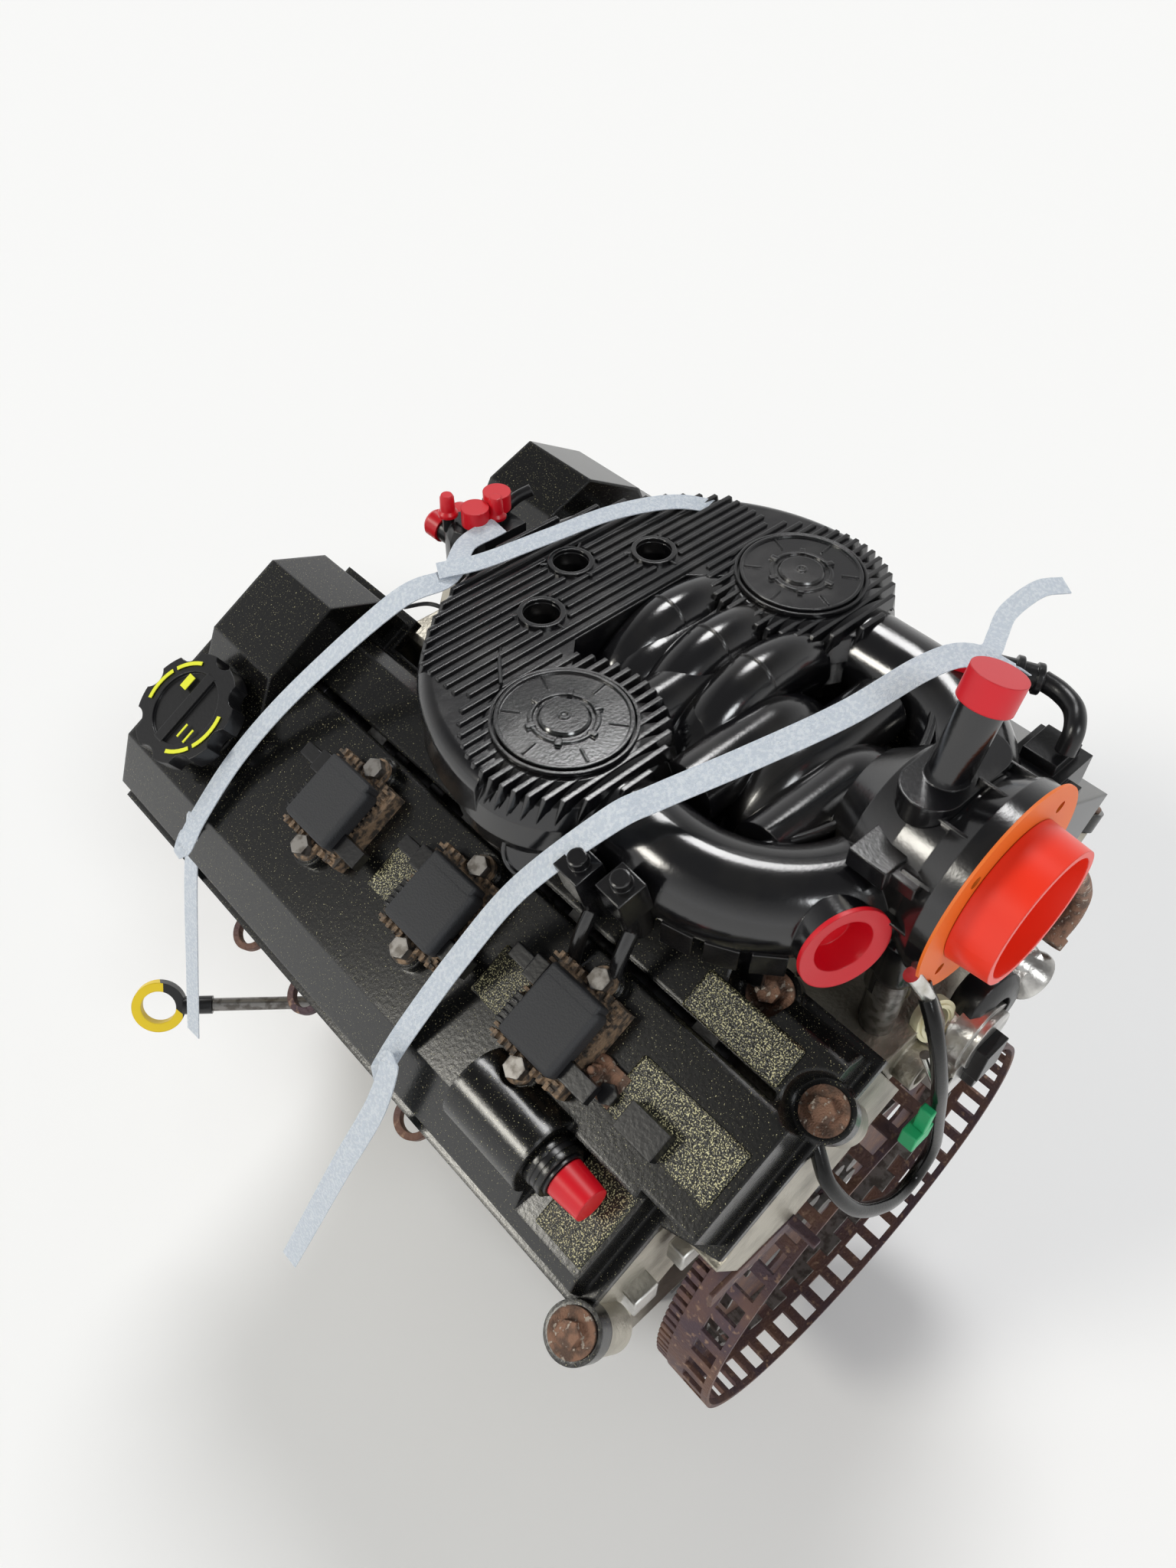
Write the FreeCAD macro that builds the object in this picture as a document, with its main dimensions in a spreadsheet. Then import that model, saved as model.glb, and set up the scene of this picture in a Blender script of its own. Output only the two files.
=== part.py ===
"""Sixty-degree V6 engine with four camshafts, as a parametric FreeCAD document.

Frame: X across the engine (+X is the left bank), Y along the crankshaft (+Y is the flexplate end), Z up.
The origin is the middle of the flexplate's converter bolt circle, on the crankshaft's axis.
A bank's own frame has X outward from the bank's middle, Y along the crankshaft and Z along the cylinders.
"""
import FreeCAD, Part
import Sketcher
import math
import os
import re
from FreeCAD import Placement, Rotation, Vector

SIZES = [
    # cylinders and crank
    ("bank_angle", 30, "half the angle between the banks, degrees"),
    ("bore_r", 43, "cylinder radius"),
    ("throw", 39.25, "crank radius, half the stroke"),
    ("pitch", 98, "cylinder spacing along a bank"),
    ("rear_cyl", 93, "rear left cylinder, ahead of the origin"),
    ("stagger", 24, "right bank ahead of the left bank"),
    ("rod_len", 140, "connecting rod between centres"),
    ("deck", 212, "crank axis to the block's deck"),
    ("gasket", 1.5, "head gasket"),
    ("run_gap", 0.04, "radial clearance of the running fits"),
    ("seat_gap", 0.3, "gap between seated neighbours"),
    ("wall", 8, "casting wall"),
    # block
    ("skirt_half", 118, "half the crankcase's width"),
    ("skirt_top", 46, "height of the straight skirt"),
    ("deck_out", 66, "deck outward of the bank's middle"),
    ("deck_in", 60, "deck inward of the bank's middle"),
    ("valley", 138, "valley floor along the bank axis"),
    ("block_front", 372, "front face of block and heads"),
    ("block_rear", 34, "rear face of the block"),
    ("case_r", 84, "crankcase bay radius"),
    ("main_back", 56, "rear main bearing, ahead of the origin"),
    ("main_r", 31.5, "main journal radius"),
    ("main_wide", 20, "main bearing width"),
    ("shell", 2.5, "bearing shell thickness"),
    ("bell_r", 182, "bellhousing flange radius"),
    ("bell_thick", 12, "bellhousing flange thickness"),
    ("bed_deep", 62, "bedplate height"),
    ("pan_lip", 8, "oil pan lip thickness"),
    ("pan_shallow", 50, "depth of the pan's shallow part"),
    ("pan_round", 12, "oil pan corner radius"),
    ("pan_deep", 133, "depth of the pan's sump"),
    ("sump_front", 300, "front of the sump"),
    ("sump_rear", 62, "rear of the sump"),
    # crank
    ("pin_r", 27, "crank pin radius"),
    ("rod_wide", 17, "connecting rod big end width"),
    ("fly_web", 5, "web between the pins of a pair"),
    ("weight_r", 77, "counterweight radius"),
    ("web_thick", 15, "crank web thickness"),
    ("nose_r", 22, "crank nose radius"),
    ("nose_end", 524, "front end of the crank nose"),
    ("flange_r", 40, "crank rear flange radius"),
    # flexplate
    ("disc_thick", 3, "flexplate disc"),
    ("drum_r", 167, "flexplate drum outer radius"),
    ("drum_wall", 3.2, "flexplate drum wall"),
    ("drum_long", 41, "drum length behind the disc"),
    ("gear_r", 166, "ring gear tip radius"),
    ("gear_long", 11, "ring gear width"),
    ("gear_teeth", 120, "ring gear teeth"),
    ("tooth", 4, "ring gear tooth height"),
    ("window_wide", 15, "drum window width"),
    ("window_tall", 17, "drum window length along the axis"),
    ("windows", 44, "windows round the drum"),
    ("pcd_r", 118, "converter bolt circle radius"),
    ("bolt_hole_r", 5.5, "converter bolt hole radius"),
    ("crank_pcd_r", 28, "crank bolt circle radius"),
    # pulley
    ("pulley_r", 76, "damper radius"),
    ("pulley_long", 46, "damper length"),
    ("pulley_front", 526, "damper front face"),
    # heads
    ("head_top", 300, "crank axis to the cover's joint"),
    ("head_in", 88, "head inward of the bank's middle"),
    ("head_out", 100, "head outward of the bank's middle"),
    ("head_step_in", 45, "where the head's rear steps back"),
    ("head_rear_in", 32, "rear face of the head's inner half, behind the origin"),
    ("cam_out", 40, "camshaft beside the bank's middle"),
    ("cam_high", 298, "camshaft above the crank axis"),
    ("cam_r", 13, "camshaft journal radius"),
    ("lobe_r", 16, "cam base circle radius"),
    ("lobe_lift", 8, "cam lift"),
    ("valve_out", 20, "valve head beside the bank's middle"),
    ("valve_y", 18, "valve beside its cylinder's middle"),
    ("bucket_r", 14, "tappet radius"),
    # timing
    ("timing_front", 470, "front face of the timing cover"),
    ("chain_y", 402, "plane of the primary chain"),
    ("chain2_y", 386, "plane of the secondary chains"),
    ("crank_gear_r", 27, "crank sprocket pitch radius"),
    ("cam_gear_r", 54, "cam sprocket pitch radius"),
    ("cam2_gear_r", 30, "secondary sprocket pitch radius"),
    ("chain_in", 3, "chain inside its pitch line"),
    ("chain_out", 4, "chain outside its pitch line"),
    ("chain_wide", 8, "chain width"),
    ("sprocket_wide", 6, "sprocket width"),
    # covers
    ("cover_in", 94, "cover inward of the bank's middle"),
    ("cover_out", 106, "cover outward of the bank's middle"),
    ("cover_lip", 7, "cover flange thickness"),
    ("cover_low", 326, "cover's outer shoulder above the crank axis"),
    ("cover_high", 350, "cover's top above the crank axis"),
    ("cover_front", 478, "front end of the cover"),
    ("turret_high", 371, "top of the cover over the sprockets"),
    ("skin", 4, "cover wall"),
    ("coil_high", 358, "coil mounting plane above the crank axis"),
    ("coil_bolt", 31, "coil bolt beside the bank's middle"),
    ("filler_y", 421, "oil filler ahead of the origin"),
    ("filler_out", 21.5, "oil filler beside the bank's middle"),
    ("filler_r", 20, "oil filler bore radius"),
    ("filler_high", 361.5, "top of the oil filler neck"),
    ("cap_r", 38, "oil cap radius"),
    # bearings, flexplate and piston details
    ("bell_bore", 62, "bore round the rear seal"),
    ("seal_r", 42, "front seal radius"),
    ("hub_r", 34, "damper hub radius"),
    ("bank_top", 182, "height of the bellhousing flange"),
    ("drain_r", 8, "drain plug radius"),
    ("drain_up", 28, "drain plug above the sump's floor"),
    ("crank_bolt_r", 5, "flexplate to crank bolt radius"),
    ("pilot_r", 22, "hole in the middle of the flexplate"),
    ("light_r", 17, "lightening hole radius"),
    ("light_pcd_r", 84, "lightening hole circle radius"),
    ("drum_rise", 7, "rear face of the drum's flange"),
    ("tone_r", 134, "tone ring radius"),
    ("tone_long", 18, "tone ring length"),
    ("wrist_r", 11, "piston pin radius"),
    ("small_end", 22, "connecting rod small end width"),
    ("cap_bolt_head", 4, "bolt head on the damper"),
    ("chamber", 7, "combustion chamber depth"),
    ("port_r", 12, "port radius"),
    ("port_rise", 20, "port angle from the bank's deck, degrees"),
    ("floor_high", 272, "cam gallery floor above the crank axis"),
    ("spring_seat", 57, "valve spring seat below the cam"),
    ("plug_r", 9, "spark plug radius"),
    ("well_r", 13, "plug well radius"),
    ("cap_wide", 16, "cam bearing width"),
    ("saddle_first", 44, "rear cam bearing, ahead of the origin"),
    ("cover_gasket", 1.5, "valve cover gasket"),
    ("ear_r", 16, "cover ear radius"),
    ("ear_in", 82, "innermost cover ear beside the bank's middle"),
    ("cam_front", 408, "front end of the camshafts, ahead of the origin"),
    ("pump_high", 190, "water pump above the crank axis"),
    ("pump_r", 34, "water pump housing radius"),
    ("turret_in", 112, "cover inward edge over the sprockets"),
    ("turret_out", 2, "raised part's outer foot, inward of the bank's middle"),
    ("turret_front", 455, "front of the raised part over the sprockets"),
    ("turret_rear", 388, "rear of the raised part over the sprockets"),
    ("valley_mid", 240, "timing cover's notch between the banks"),
    ("coil_half", 24, "half the coil body's width"),
    ("coil_tall", 27, "coil body height"),
    ("pcv_out", 54, "crankcase valve beside the bank's middle"),
    ("pcv_r", 23, "crankcase valve housing radius"),
    ("pcv_long", 56, "crankcase valve housing length"),
    ("pcv_back", -56, "rear face of the crankcase valve housing"),
    ("pcv_floor", 333, "cover's top behind the crankcase valve housing"),
    ("pad_high", 340, "cover's inner pad above the crank axis"),
    ("pad_out", 46, "cover's inner pad ends inward of the bank's middle"),
    ("ear_bolt_r", 3.5, "cover bolt hole radius"),
    # intake
    ("feet_half", 64, "half the runner flange's width"),
    ("intake_rear", 45, "rear end of the lower manifold"),
    ("intake_front", 310, "front end of the lower manifold"),
    ("lobe_x", 95, "plenum dome beside the engine's middle"),
    ("lobe_y", 185, "plenum dome ahead of the origin"),
    ("dome_r", 62, "plenum dome radius"),
    ("dome_high", 406, "top of the plenum domes"),
    ("duct_r", 28, "side duct radius"),
    ("duct_x", 100, "side duct beside the engine's middle"),
    ("duct_high", 374, "side duct centre height"),
    ("duct_bend", 80, "radius of the side duct's bend"),
    ("runner_r", 19, "runner radius"),
    ("runner_high", 378, "runner crown height"),
    ("runner_drop", 40, "radius of the runner's bend"),
    ("runner_foot", 302, "lower end of the runners"),
    ("runner_gap", 27.5, "runner spacing"),
    ("runner_rear", 68, "rear runner ahead of the origin"),
    ("neck_r", 52, "inlet neck radius"),
    ("neck_high", 386, "inlet neck height"),
    ("neck_end", 26, "rear face of the inlet neck"),
    ("inlet_r", 39, "air inlet bore radius"),
    ("inlet_deep", 45, "air inlet bore depth"),
    ("intake_gasket", 0.3, "joint between the two intake castings"),
    ("column_r", 9, "intake bolt column radius"),
    ("duct_turn", 100, "where the side ducts start to bend, ahead of the origin"),
    ("flange_pcd_r", 49, "throttle bolt circle radius"),
    ("throttle_r", 58, "throttle flange radius"),
    ("throttle_seal", 1.5, "throttle gasket"),
    ("port_neck_r", 22, "vacuum port radius"),
    ("leg_x", 29, "rear support beside the engine's middle"),
    ("leg_y", 3, "rear support behind the origin"),
    ("leg_top", 352, "top of the rear support's bush"),
    ("leg_low", 306, "underside of the rear support's bush"),
    ("crossover_high", 274, "top of the coolant crossover"),
    ("spout_r", 13, "coolant spout radius"),
    ("spout_x", 25, "coolant spout beside the engine's middle"),
    ("spout_high", 252, "coolant spout height"),
    ("crossover_end", 26, "rear face of the coolant crossover"),
    ("outlet_y", 366, "coolant outlet ahead of the origin"),
    ("outlet_top", 392, "top of the coolant outlet"),
    ("stick_r", 3, "dipstick radius"),
    ("stick_long", 176, "dipstick tube length"),
    ("panel_front", 332, "front of the ribbed panel"),
    ("panel_low", 372, "underside of the ribbed panel"),
    ("crown", 30, "piston crown above its pin"),
    ("skirt", 22, "piston skirt below its pin"),
]

doc = FreeCAD.newDocument("engine")
sheet = doc.addObject("Spreadsheet::Sheet", "Sizes")
for row, (name, value, note) in enumerate(SIZES, 1):
    sheet.set(f"A{row}", str(value))
    sheet.set(f"B{row}", note)
    sheet.setAlias(f"A{row}", name)
doc.recompute()

WORD = re.compile(r"\b([a-z][a-z0-9_]{2,})\b(?!\()")
TURNS = {"z": None, "y": ((-1, 0, 0), 90), "x": ((0, 1, 0), 90)}
NODES = []


def size(name):
    return float(sheet.get(name))


def bind(thing, prop, rule):
    """Ties a property to the sheet: every word in the rule is a cell's alias."""
    thing.setExpression(prop, WORD.sub(r"Sizes.\1", str(rule)))


def place(thing, at=(0, 0, 0), axis=(0, 0, 1), turn=None):
    thing.Placement = Placement(Vector(), Rotation(Vector(*axis), 1 if turn is not None else 0))
    for letter, rule in zip("xyz", at):
        bind(thing, f"Placement.Base.{letter}", rule)
    if turn is not None:
        bind(thing, "Placement.Rotation.Angle", turn)
    return thing


def stand(thing, at, along):
    turn = TURNS[along]
    return place(thing, at, turn[0], turn[1]) if turn else place(thing, at)


def box(at, sides, axis=(0, 0, 1), turn=None):
    thing = doc.addObject("Part::Box", "block")
    for prop, rule in zip(("Length", "Width", "Height"), sides):
        bind(thing, prop, rule)
    return place(thing, at, axis, turn)


def rod(radius, height, at=(0, 0, 0), along="z"):
    thing = doc.addObject("Part::Cylinder", "rod")
    bind(thing, "Radius", radius)
    bind(thing, "Height", height)
    return stand(thing, at, along)


def cone(radius, radius_end, height, at=(0, 0, 0), along="z"):
    thing = doc.addObject("Part::Cone", "cone")
    bind(thing, "Radius1", radius)
    bind(thing, "Radius2", radius_end)
    bind(thing, "Height", height)
    return stand(thing, at, along)


def fuse(*things):
    thing = doc.addObject("Part::MultiFuse", "joined")
    thing.Shapes = list(things)
    thing.Refine = True
    return thing


def cut(base, *tools):
    thing = doc.addObject("Part::Cut", "carved")
    thing.Base = base
    thing.Tool = fuse(*tools) if len(tools) > 1 else tools[0]
    thing.Refine = True
    return thing


def common(*things):
    thing = doc.addObject("Part::MultiCommon", "shared")
    thing.Shapes = list(things)
    return thing


def group(*things):
    thing = doc.addObject("Part::Compound", "group")
    thing.Links = list(things)
    return thing


def link(thing, at=(0, 0, 0), axis=(0, 0, 1), turn=None):
    twin = doc.addObject("App::Link", "twin")
    twin.LinkedObject = thing
    return place(twin, at, axis, turn)


def tube(radius, bore, height, at=(0, 0, 0), along="z"):
    ring = cut(rod(radius, height), rod(bore, f"{height}+2", (0, 0, -1)))
    return stand(ring, at, along)


def fasten(points, sketch):
    """A closed outline of straight sides, each corner tied to the sheet."""
    count = len(points)
    for i in range(count):
        start, end = Vector(i, i * i, 0), Vector(i + 1, (i + 1) ** 2, 0)
        sketch.addGeometry(Part.LineSegment(start, end), False)
    for i in range(count):
        sketch.addConstraint(Sketcher.Constraint("Coincident", i, 2, (i + 1) % count, 1))
    for i, pair in enumerate(points):
        for kind, rule in zip(("DistanceX", "DistanceY"), pair):
            number = sketch.addConstraint(Sketcher.Constraint(kind, -1, 1, i, 1, 1.0))
            bind(sketch, f"Constraints[{number}]", rule)


def outline(points, flat=False):
    """A sketch on the XZ plane, or on the XY plane when flat."""
    sketch = doc.addObject("Sketcher::SketchObject", "outline")
    if not flat:
        sketch.Placement = Placement(Vector(), Rotation(Vector(1, 0, 0), 90))
    fasten(points, sketch)
    return sketch


def slab(points, height, at=(0, 0, 0), flat=False):
    """An outline thickened towards -Y, or upwards when flat."""
    thing = doc.addObject("Part::Extrusion", "slab")
    thing.Base = outline(points, flat)
    thing.DirMode = "Normal"
    bind(thing, "LengthFwd", height)
    thing.Solid = True
    return place(thing, at)


def turned(points, at=(0, 0, 0), along="z"):
    """An outline of (radius, height) corners turned round its axis."""
    thing = doc.addObject("Part::Revolution", "turned")
    thing.Source = outline(points)
    thing.Axis = Vector(0, 0, 1)
    thing.Angle = 360
    thing.Solid = True
    return stand(thing, at, along)


def soften(base, radius, wanted):
    """A fillet on the edges that wanted(edge) picks."""
    doc.recompute()
    thing = doc.addObject("Part::Fillet", "softened")
    thing.Base = base
    picks = [i for i, edge in enumerate(base.Shape.Edges, 1) if wanted(edge)]
    thing.Edges = [(i, radius, radius) for i in picks]
    return thing


def runs_along(edge, letter):
    """Whether an edge is a straight line along X, Y or Z."""
    if edge.Curve.TypeId != "Part::GeomLine":
        return False
    return abs(getattr(edge.tangentAt(edge.FirstParameter), letter)) > 0.999


def on_bank(thing, right):
    """Tilts a piece from the bank's own frame into the engine's."""
    if not right:
        return place(thing, axis=(0, 1, 0), turn="bank_angle")
    twin = doc.addObject("Part::Mirroring", "twin")
    twin.Source = thing
    twin.Normal = Vector(1, 0, 0)
    return place(twin, axis=(0, -1, 0), turn="bank_angle")


def node(thing, label):
    thing.Label = label
    NODES.append(thing)
    return thing


def bank_x(out, high):
    return f"(({out})*cos(bank_angle)+({high})*sin(bank_angle))"


def bank_z(out, high):
    return f"(({high})*cos(bank_angle)-({out})*sin(bank_angle))"


FLOOR = bank_z("-deck_in", "valley")


def late(right):
    return "stagger" if right else "0"


def cyl_y(k, right):
    return f"(-rear_cyl-{k}*pitch-{late(right)})"


BANKS = (False, True)
SIDES = ("left", "right")


def both_ways(points):
    """Completes a right-hand half outline with its mirror image."""
    return points + [(f"-({x})", z) for x, z in reversed(points)]


# ---------------------------------------------------------------- block, bedplate and pan
def crank_line():
    """Main bearing line with room for the crank's rear flange."""
    line = rod("main_r+shell", "block_front+2", (0, "-block_front-1", 0), "y")
    end = "main_back-main_wide/2+1+seat_gap"
    return fuse(line, rod("flange_r+seat_gap", f"{end}-block_rear+1", (0, f"-({end})", 0), "y"))


def engine_block():
    half = [
        ("skirt_half", "0"),
        ("skirt_half", "skirt_top"),
        (bank_x("deck_out", "deck*0.5"), bank_z("deck_out", "deck*0.5")),
        (bank_x("deck_out", "deck"), bank_z("deck_out", "deck")),
        (bank_x("-deck_in", "deck"), bank_z("-deck_in", "deck")),
        (bank_x("-deck_in", "valley"), bank_z("-deck_in", "valley")),
    ]
    body = slab(both_ways(half), "block_front-block_rear", (0, "-block_rear", 0))
    bell = common(
        rod("bell_r", "bell_thick+6", (0, "-block_rear-6", 0), "y"),
        box(("-bell_r", "-block_rear-6", 0), ("2*bell_r", "bell_thick+6", "bank_top")),
    )
    eye = rod("bell_bore", "bell_thick+1", (0, "-block_rear", 0), "y")
    bays = [
        rod("case_r", "pitch-main_wide", (0, f"-main_back-{k}*pitch-pitch+main_wide/2", 0), "y")
        for k in range(3)
    ]
    line = crank_line()
    bores = []
    for right in BANKS:
        three = fuse(
            *[rod("bore_r", "deck-case_r*0.5+1", (0, cyl_y(k, right), "case_r*0.5")) for k in range(3)]
        )
        bores.append(on_bank(three, right))
    under = box(("-bell_r", "-block_front-1", "-bell_r"), ("2*bell_r", "block_front+2", "bell_r"))
    node(cut(fuse(body, cut(bell, eye)), line, under, *bays, *bores), "engine_block")


def bedplate():
    plate = box(
        ("-skirt_half", "-block_front", "-bed_deep"),
        ("2*skirt_half", "block_front-block_rear", "bed_deep"),
    )
    line = crank_line()
    bays = [
        box(
            ("-case_r", f"-main_back-{k}*pitch-pitch+main_wide/2", "-bed_deep-1"),
            ("2*case_r", "pitch-main_wide", "bed_deep+2"),
        )
        for k in range(3)
    ]
    node(cut(plate, line, *bays), "bedplate")


def main_bearings():
    ring = tube("main_r+shell", "main_r+run_gap", "main_wide-2")
    split = box(("-case_r", "-seat_gap/2", -1), ("2*case_r", "seat_gap", "main_wide"))
    pair = cut(ring, split)
    rings = [
        link(pair, (0, f"-main_back-{k}*pitch-main_wide/2+1", 0), (-1, 0, 0), 90) for k in range(4)
    ]
    node(group(*rings), "main_bearings")


def rounded_below(base):
    """Rounds a box's upright and lower edges."""
    doc.recompute()
    floor = base.Shape.BoundBox.ZMin
    return soften(base, size("pan_round"), lambda e: runs_along(e, "z") or e.BoundBox.ZMax < floor + 1)


def oil_pan():
    wide = "skirt_half"
    lip = box(
        (f"-{wide}", "-block_front", "-bed_deep-pan_lip"),
        (f"2*{wide}", "block_front-block_rear", "pan_lip"),
    )
    shallow = box(
        ("-skirt_half+12", "-block_front+10", "-bed_deep-pan_shallow"),
        ("2*skirt_half-24", "block_front-block_rear-20", "pan_shallow"),
    )
    sump = box(
        ("-skirt_half+12", "-sump_front", "-bed_deep-pan_deep"),
        ("2*skirt_half-24", "sump_front-sump_rear", "pan_deep"),
    )
    shell = fuse(lip, rounded_below(shallow), rounded_below(sump))
    hollow = box(
        ("-skirt_half+12+skin", "-sump_front+skin", "-bed_deep-pan_deep+skin"),
        ("2*(skirt_half-12-skin)", "sump_front-sump_rear-2*skin", "pan_deep-skin+1"),
    )
    upper = box(
        ("-skirt_half+12+skin", "-block_front+10+skin", "-bed_deep-pan_shallow+skin"),
        ("2*(skirt_half-12-skin)", "block_front-block_rear-20-2*skin", "pan_shallow-skin+1"),
    )
    plug_hole = rod("drain_r", "skin+2", (0, "-sump_rear-skin-1", "-bed_deep-pan_deep+drain_up"), "y")
    node(cut(shell, hollow, upper, plug_hole), "oil_pan")
    head = turned(
        [(0, "-skin+seat_gap"), ("drain_r-run_gap", "-skin+seat_gap"), ("drain_r-run_gap", 0),
         ("drain_r+5", 0), ("drain_r+5", 8), (0, 8)],
        (0, "-sump_rear", "-bed_deep-pan_deep+drain_up"), "y",
    )
    node(head, "drain_plug")


# ---------------------------------------------------------------- crankshaft
def pin_at(angle, y, height, radius):
    return rod(radius, height, (f"throw*sin({angle})", y, f"throw*cos({angle})"), "y")


def counterweight(angle, y):
    """A web with its weight opposite the pin at this angle from +Z."""
    weight = common(
        rod("weight_r", "web_thick", (0, 0, 0), "y"),
        box(("-weight_r*0.8", 0, "-weight_r"), ("weight_r*1.6", "web_thick", "weight_r-6")),
    )
    arm = fuse(
        weight,
        box(("-pin_r-3", 0, -12), ("2*pin_r+6", "web_thick", "throw+12")),
        rod("pin_r+4", "web_thick", (0, 0, "throw"), "y"),
        rod("main_r+6", "web_thick", (0, 0, 0), "y"),
    )
    return place(arm, (0, y, 0), (0, 1, 0), angle)


def crankshaft():
    pieces = []
    for k in range(3):
        middle = f"(-rear_cyl-{k}*pitch-stagger/2)"
        left, right = f"(bank_angle+120*{k})", f"(360-bank_angle+120*{k})"
        reach = "(rod_wide+fly_web/2+2)"
        pieces.append(pin_at(left, f"{middle}-1", f"{reach}+1", "pin_r"))
        pieces.append(pin_at(right, f"{middle}-{reach}", f"{reach}+1", "pin_r"))
        for angle in (left, right):
            pieces.append(pin_at(angle, f"{middle}-fly_web/2", "fly_web", "pin_r+4"))
        pieces.append(rod("main_r+4", "fly_web", (0, f"{middle}-fly_web/2", 0), "y"))
        pieces.append(counterweight(left, f"{middle}+{reach}-0.5"))
        pieces.append(counterweight(right, f"{middle}-{reach}-web_thick+0.5"))
    for k in range(4):
        at = (0, f"-main_back-{k}*pitch-main_wide/2-4", 0)
        pieces.append(rod("main_r", "main_wide+8", at, "y"))
    rear = rod("flange_r", "main_back-main_wide/2-disc_thick+1", (0, "-main_back+main_wide/2-1", 0), "y")
    nose = rod("nose_r", "nose_end-block_front+20", (0, "-nose_end", 0), "y")
    holes = [
        rod("crank_bolt_r+run_gap", 22,
            (f"crank_pcd_r*sin({60 * i})", "-disc_thick-20", f"crank_pcd_r*cos({60 * i})"), "y")
        for i in range(6)
    ]
    node(cut(fuse(*pieces, rear, nose), *holes), "crankshaft")


def ring_gear():
    """A toothed ring shrunk on the front rim of the drum."""
    body = doc.addObject("PartDesign::Body", "gear_body")
    plane = [f for f in body.Origin.OriginFeatures if f.Role == "XY_Plane"][0]
    rim = body.newObject("Sketcher::SketchObject", "gear_rim")
    rim.AttachmentSupport = [(plane, "")]
    rim.MapMode = "FlatFace"
    for radius in ("gear_r", "drum_r-drum_wall-7.5"):
        circle = rim.addGeometry(Part.Circle(Vector(), Vector(0, 0, 1), size("gear_r")), False)
        rim.addConstraint(Sketcher.Constraint("Coincident", circle, 3, -1, 1))
        number = rim.addConstraint(Sketcher.Constraint("Radius", circle, 10))
        bind(rim, f"Constraints[{number}]", radius)
    pad = body.newObject("PartDesign::Pad", "gear_pad")
    pad.Profile = rim
    bind(pad, "Length", "gear_long")
    gap = body.newObject("Sketcher::SketchObject", "gear_gap")
    gap.AttachmentSupport = [(plane, "")]
    gap.MapMode = "FlatFace"
    half = "(180*gear_r/57.3/gear_teeth/2)"
    fasten(
        [(f"-{half}*0.45", "gear_r-tooth"), (f"{half}*0.45", "gear_r-tooth"),
         (half, "gear_r+1"), (f"-{half}", "gear_r+1")],
        gap,
    )
    notch = body.newObject("PartDesign::Pocket", "gear_notch")
    notch.Profile = gap
    notch.Reversed = True
    bind(notch, "Length", "gear_long+1")
    doc.recompute()
    pattern = body.newObject("PartDesign::PolarPattern", "gear_notches")
    pattern.Originals = [notch]
    pattern.Axis = (rim, ["N_Axis"])
    pattern.Angle = 360
    bind(pattern, "Occurrences", "gear_teeth")
    body.Tip = pattern
    place(body, (0, "drum_rise-disc_thick-gear_long", 0), (-1, 0, 0), 90)
    node(body, "ring_gear")


def flexplate():
    """A dished disc with a windowed drum behind it."""
    shell = turned(
        [("pilot_r", "-disc_thick"), ("drum_r-drum_wall-12", "-disc_thick"),
         ("drum_r-drum_wall-8", "drum_rise-disc_thick"), ("drum_r", "drum_rise-disc_thick"),
         ("drum_r", "drum_long"), ("drum_r-drum_wall", "drum_long"),
         ("drum_r-drum_wall", "drum_rise"), ("drum_r-drum_wall-10", "drum_rise"),
         ("drum_r-drum_wall-14", 0), ("pilot_r", 0)],
        along="y",
    )
    windows = [
        box((0, "drum_long-window_tall-5", 0), ("window_wide", "window_tall", "drum_r+5"),
            (0, 1, 0), f"360/windows*{i}")
        for i in range(int(size("windows")))
    ]
    holes = [hole_round("bolt_hole_r", "pcd_r", 90 * i) for i in range(4)]
    holes += [hole_round("light_r", "light_pcd_r", 60 * i + 30) for i in range(6)]
    holes += [hole_round("crank_bolt_r+run_gap", "crank_pcd_r", 60 * i) for i in range(6)]
    node(cut(shell, group(*windows, *holes)), "flexplate")
    band = tube("tone_r", "tone_r-3", "tone_long", along="y")
    notches = [
        box((0, "tone_long-8", 0), ("tone_r*3.14/24", 9, "tone_r+5"), (0, 1, 0), 15 * i)
        for i in range(24)
    ]
    node(cut(band, *notches), "tone_ring")
    bolts = []
    for i in range(6):
        bolt = fuse(
            rod("crank_bolt_r", 16, (0, -15, 0), "y"),
            rod("crank_bolt_r+4", 6, (0, 0, 0), "y"),
        )
        bolts.append(place(bolt, (f"crank_pcd_r*sin({60 * i})", 0, f"crank_pcd_r*cos({60 * i})")))
    bolts.append(
        fuse(
            rod("nose_r+1.8", "pulley_front-nose_end", (0, "-pulley_front", 0), "y"),
            rod("nose_r*0.6", "cap_bolt_head", (0, "-pulley_front-cap_bolt_head", 0), "y"),
        )
    )
    node(group(*bolts), "crank_bolts")
    seals = group(
        tube("bell_bore", "flange_r+run_gap", "bell_thick", (0, "-block_rear", 0), "y"),
        tube("seal_r", "hub_r+run_gap", "wall", (0, "-timing_front", 0), "y"),
    )
    node(seals, "crank_seals")


def hole_round(radius, circle, angle):
    at = (f"{circle}*sin({angle})", "-disc_thick-1", f"{circle}*cos({angle})")
    return rod(radius, "disc_thick+2", at, "y")


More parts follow.
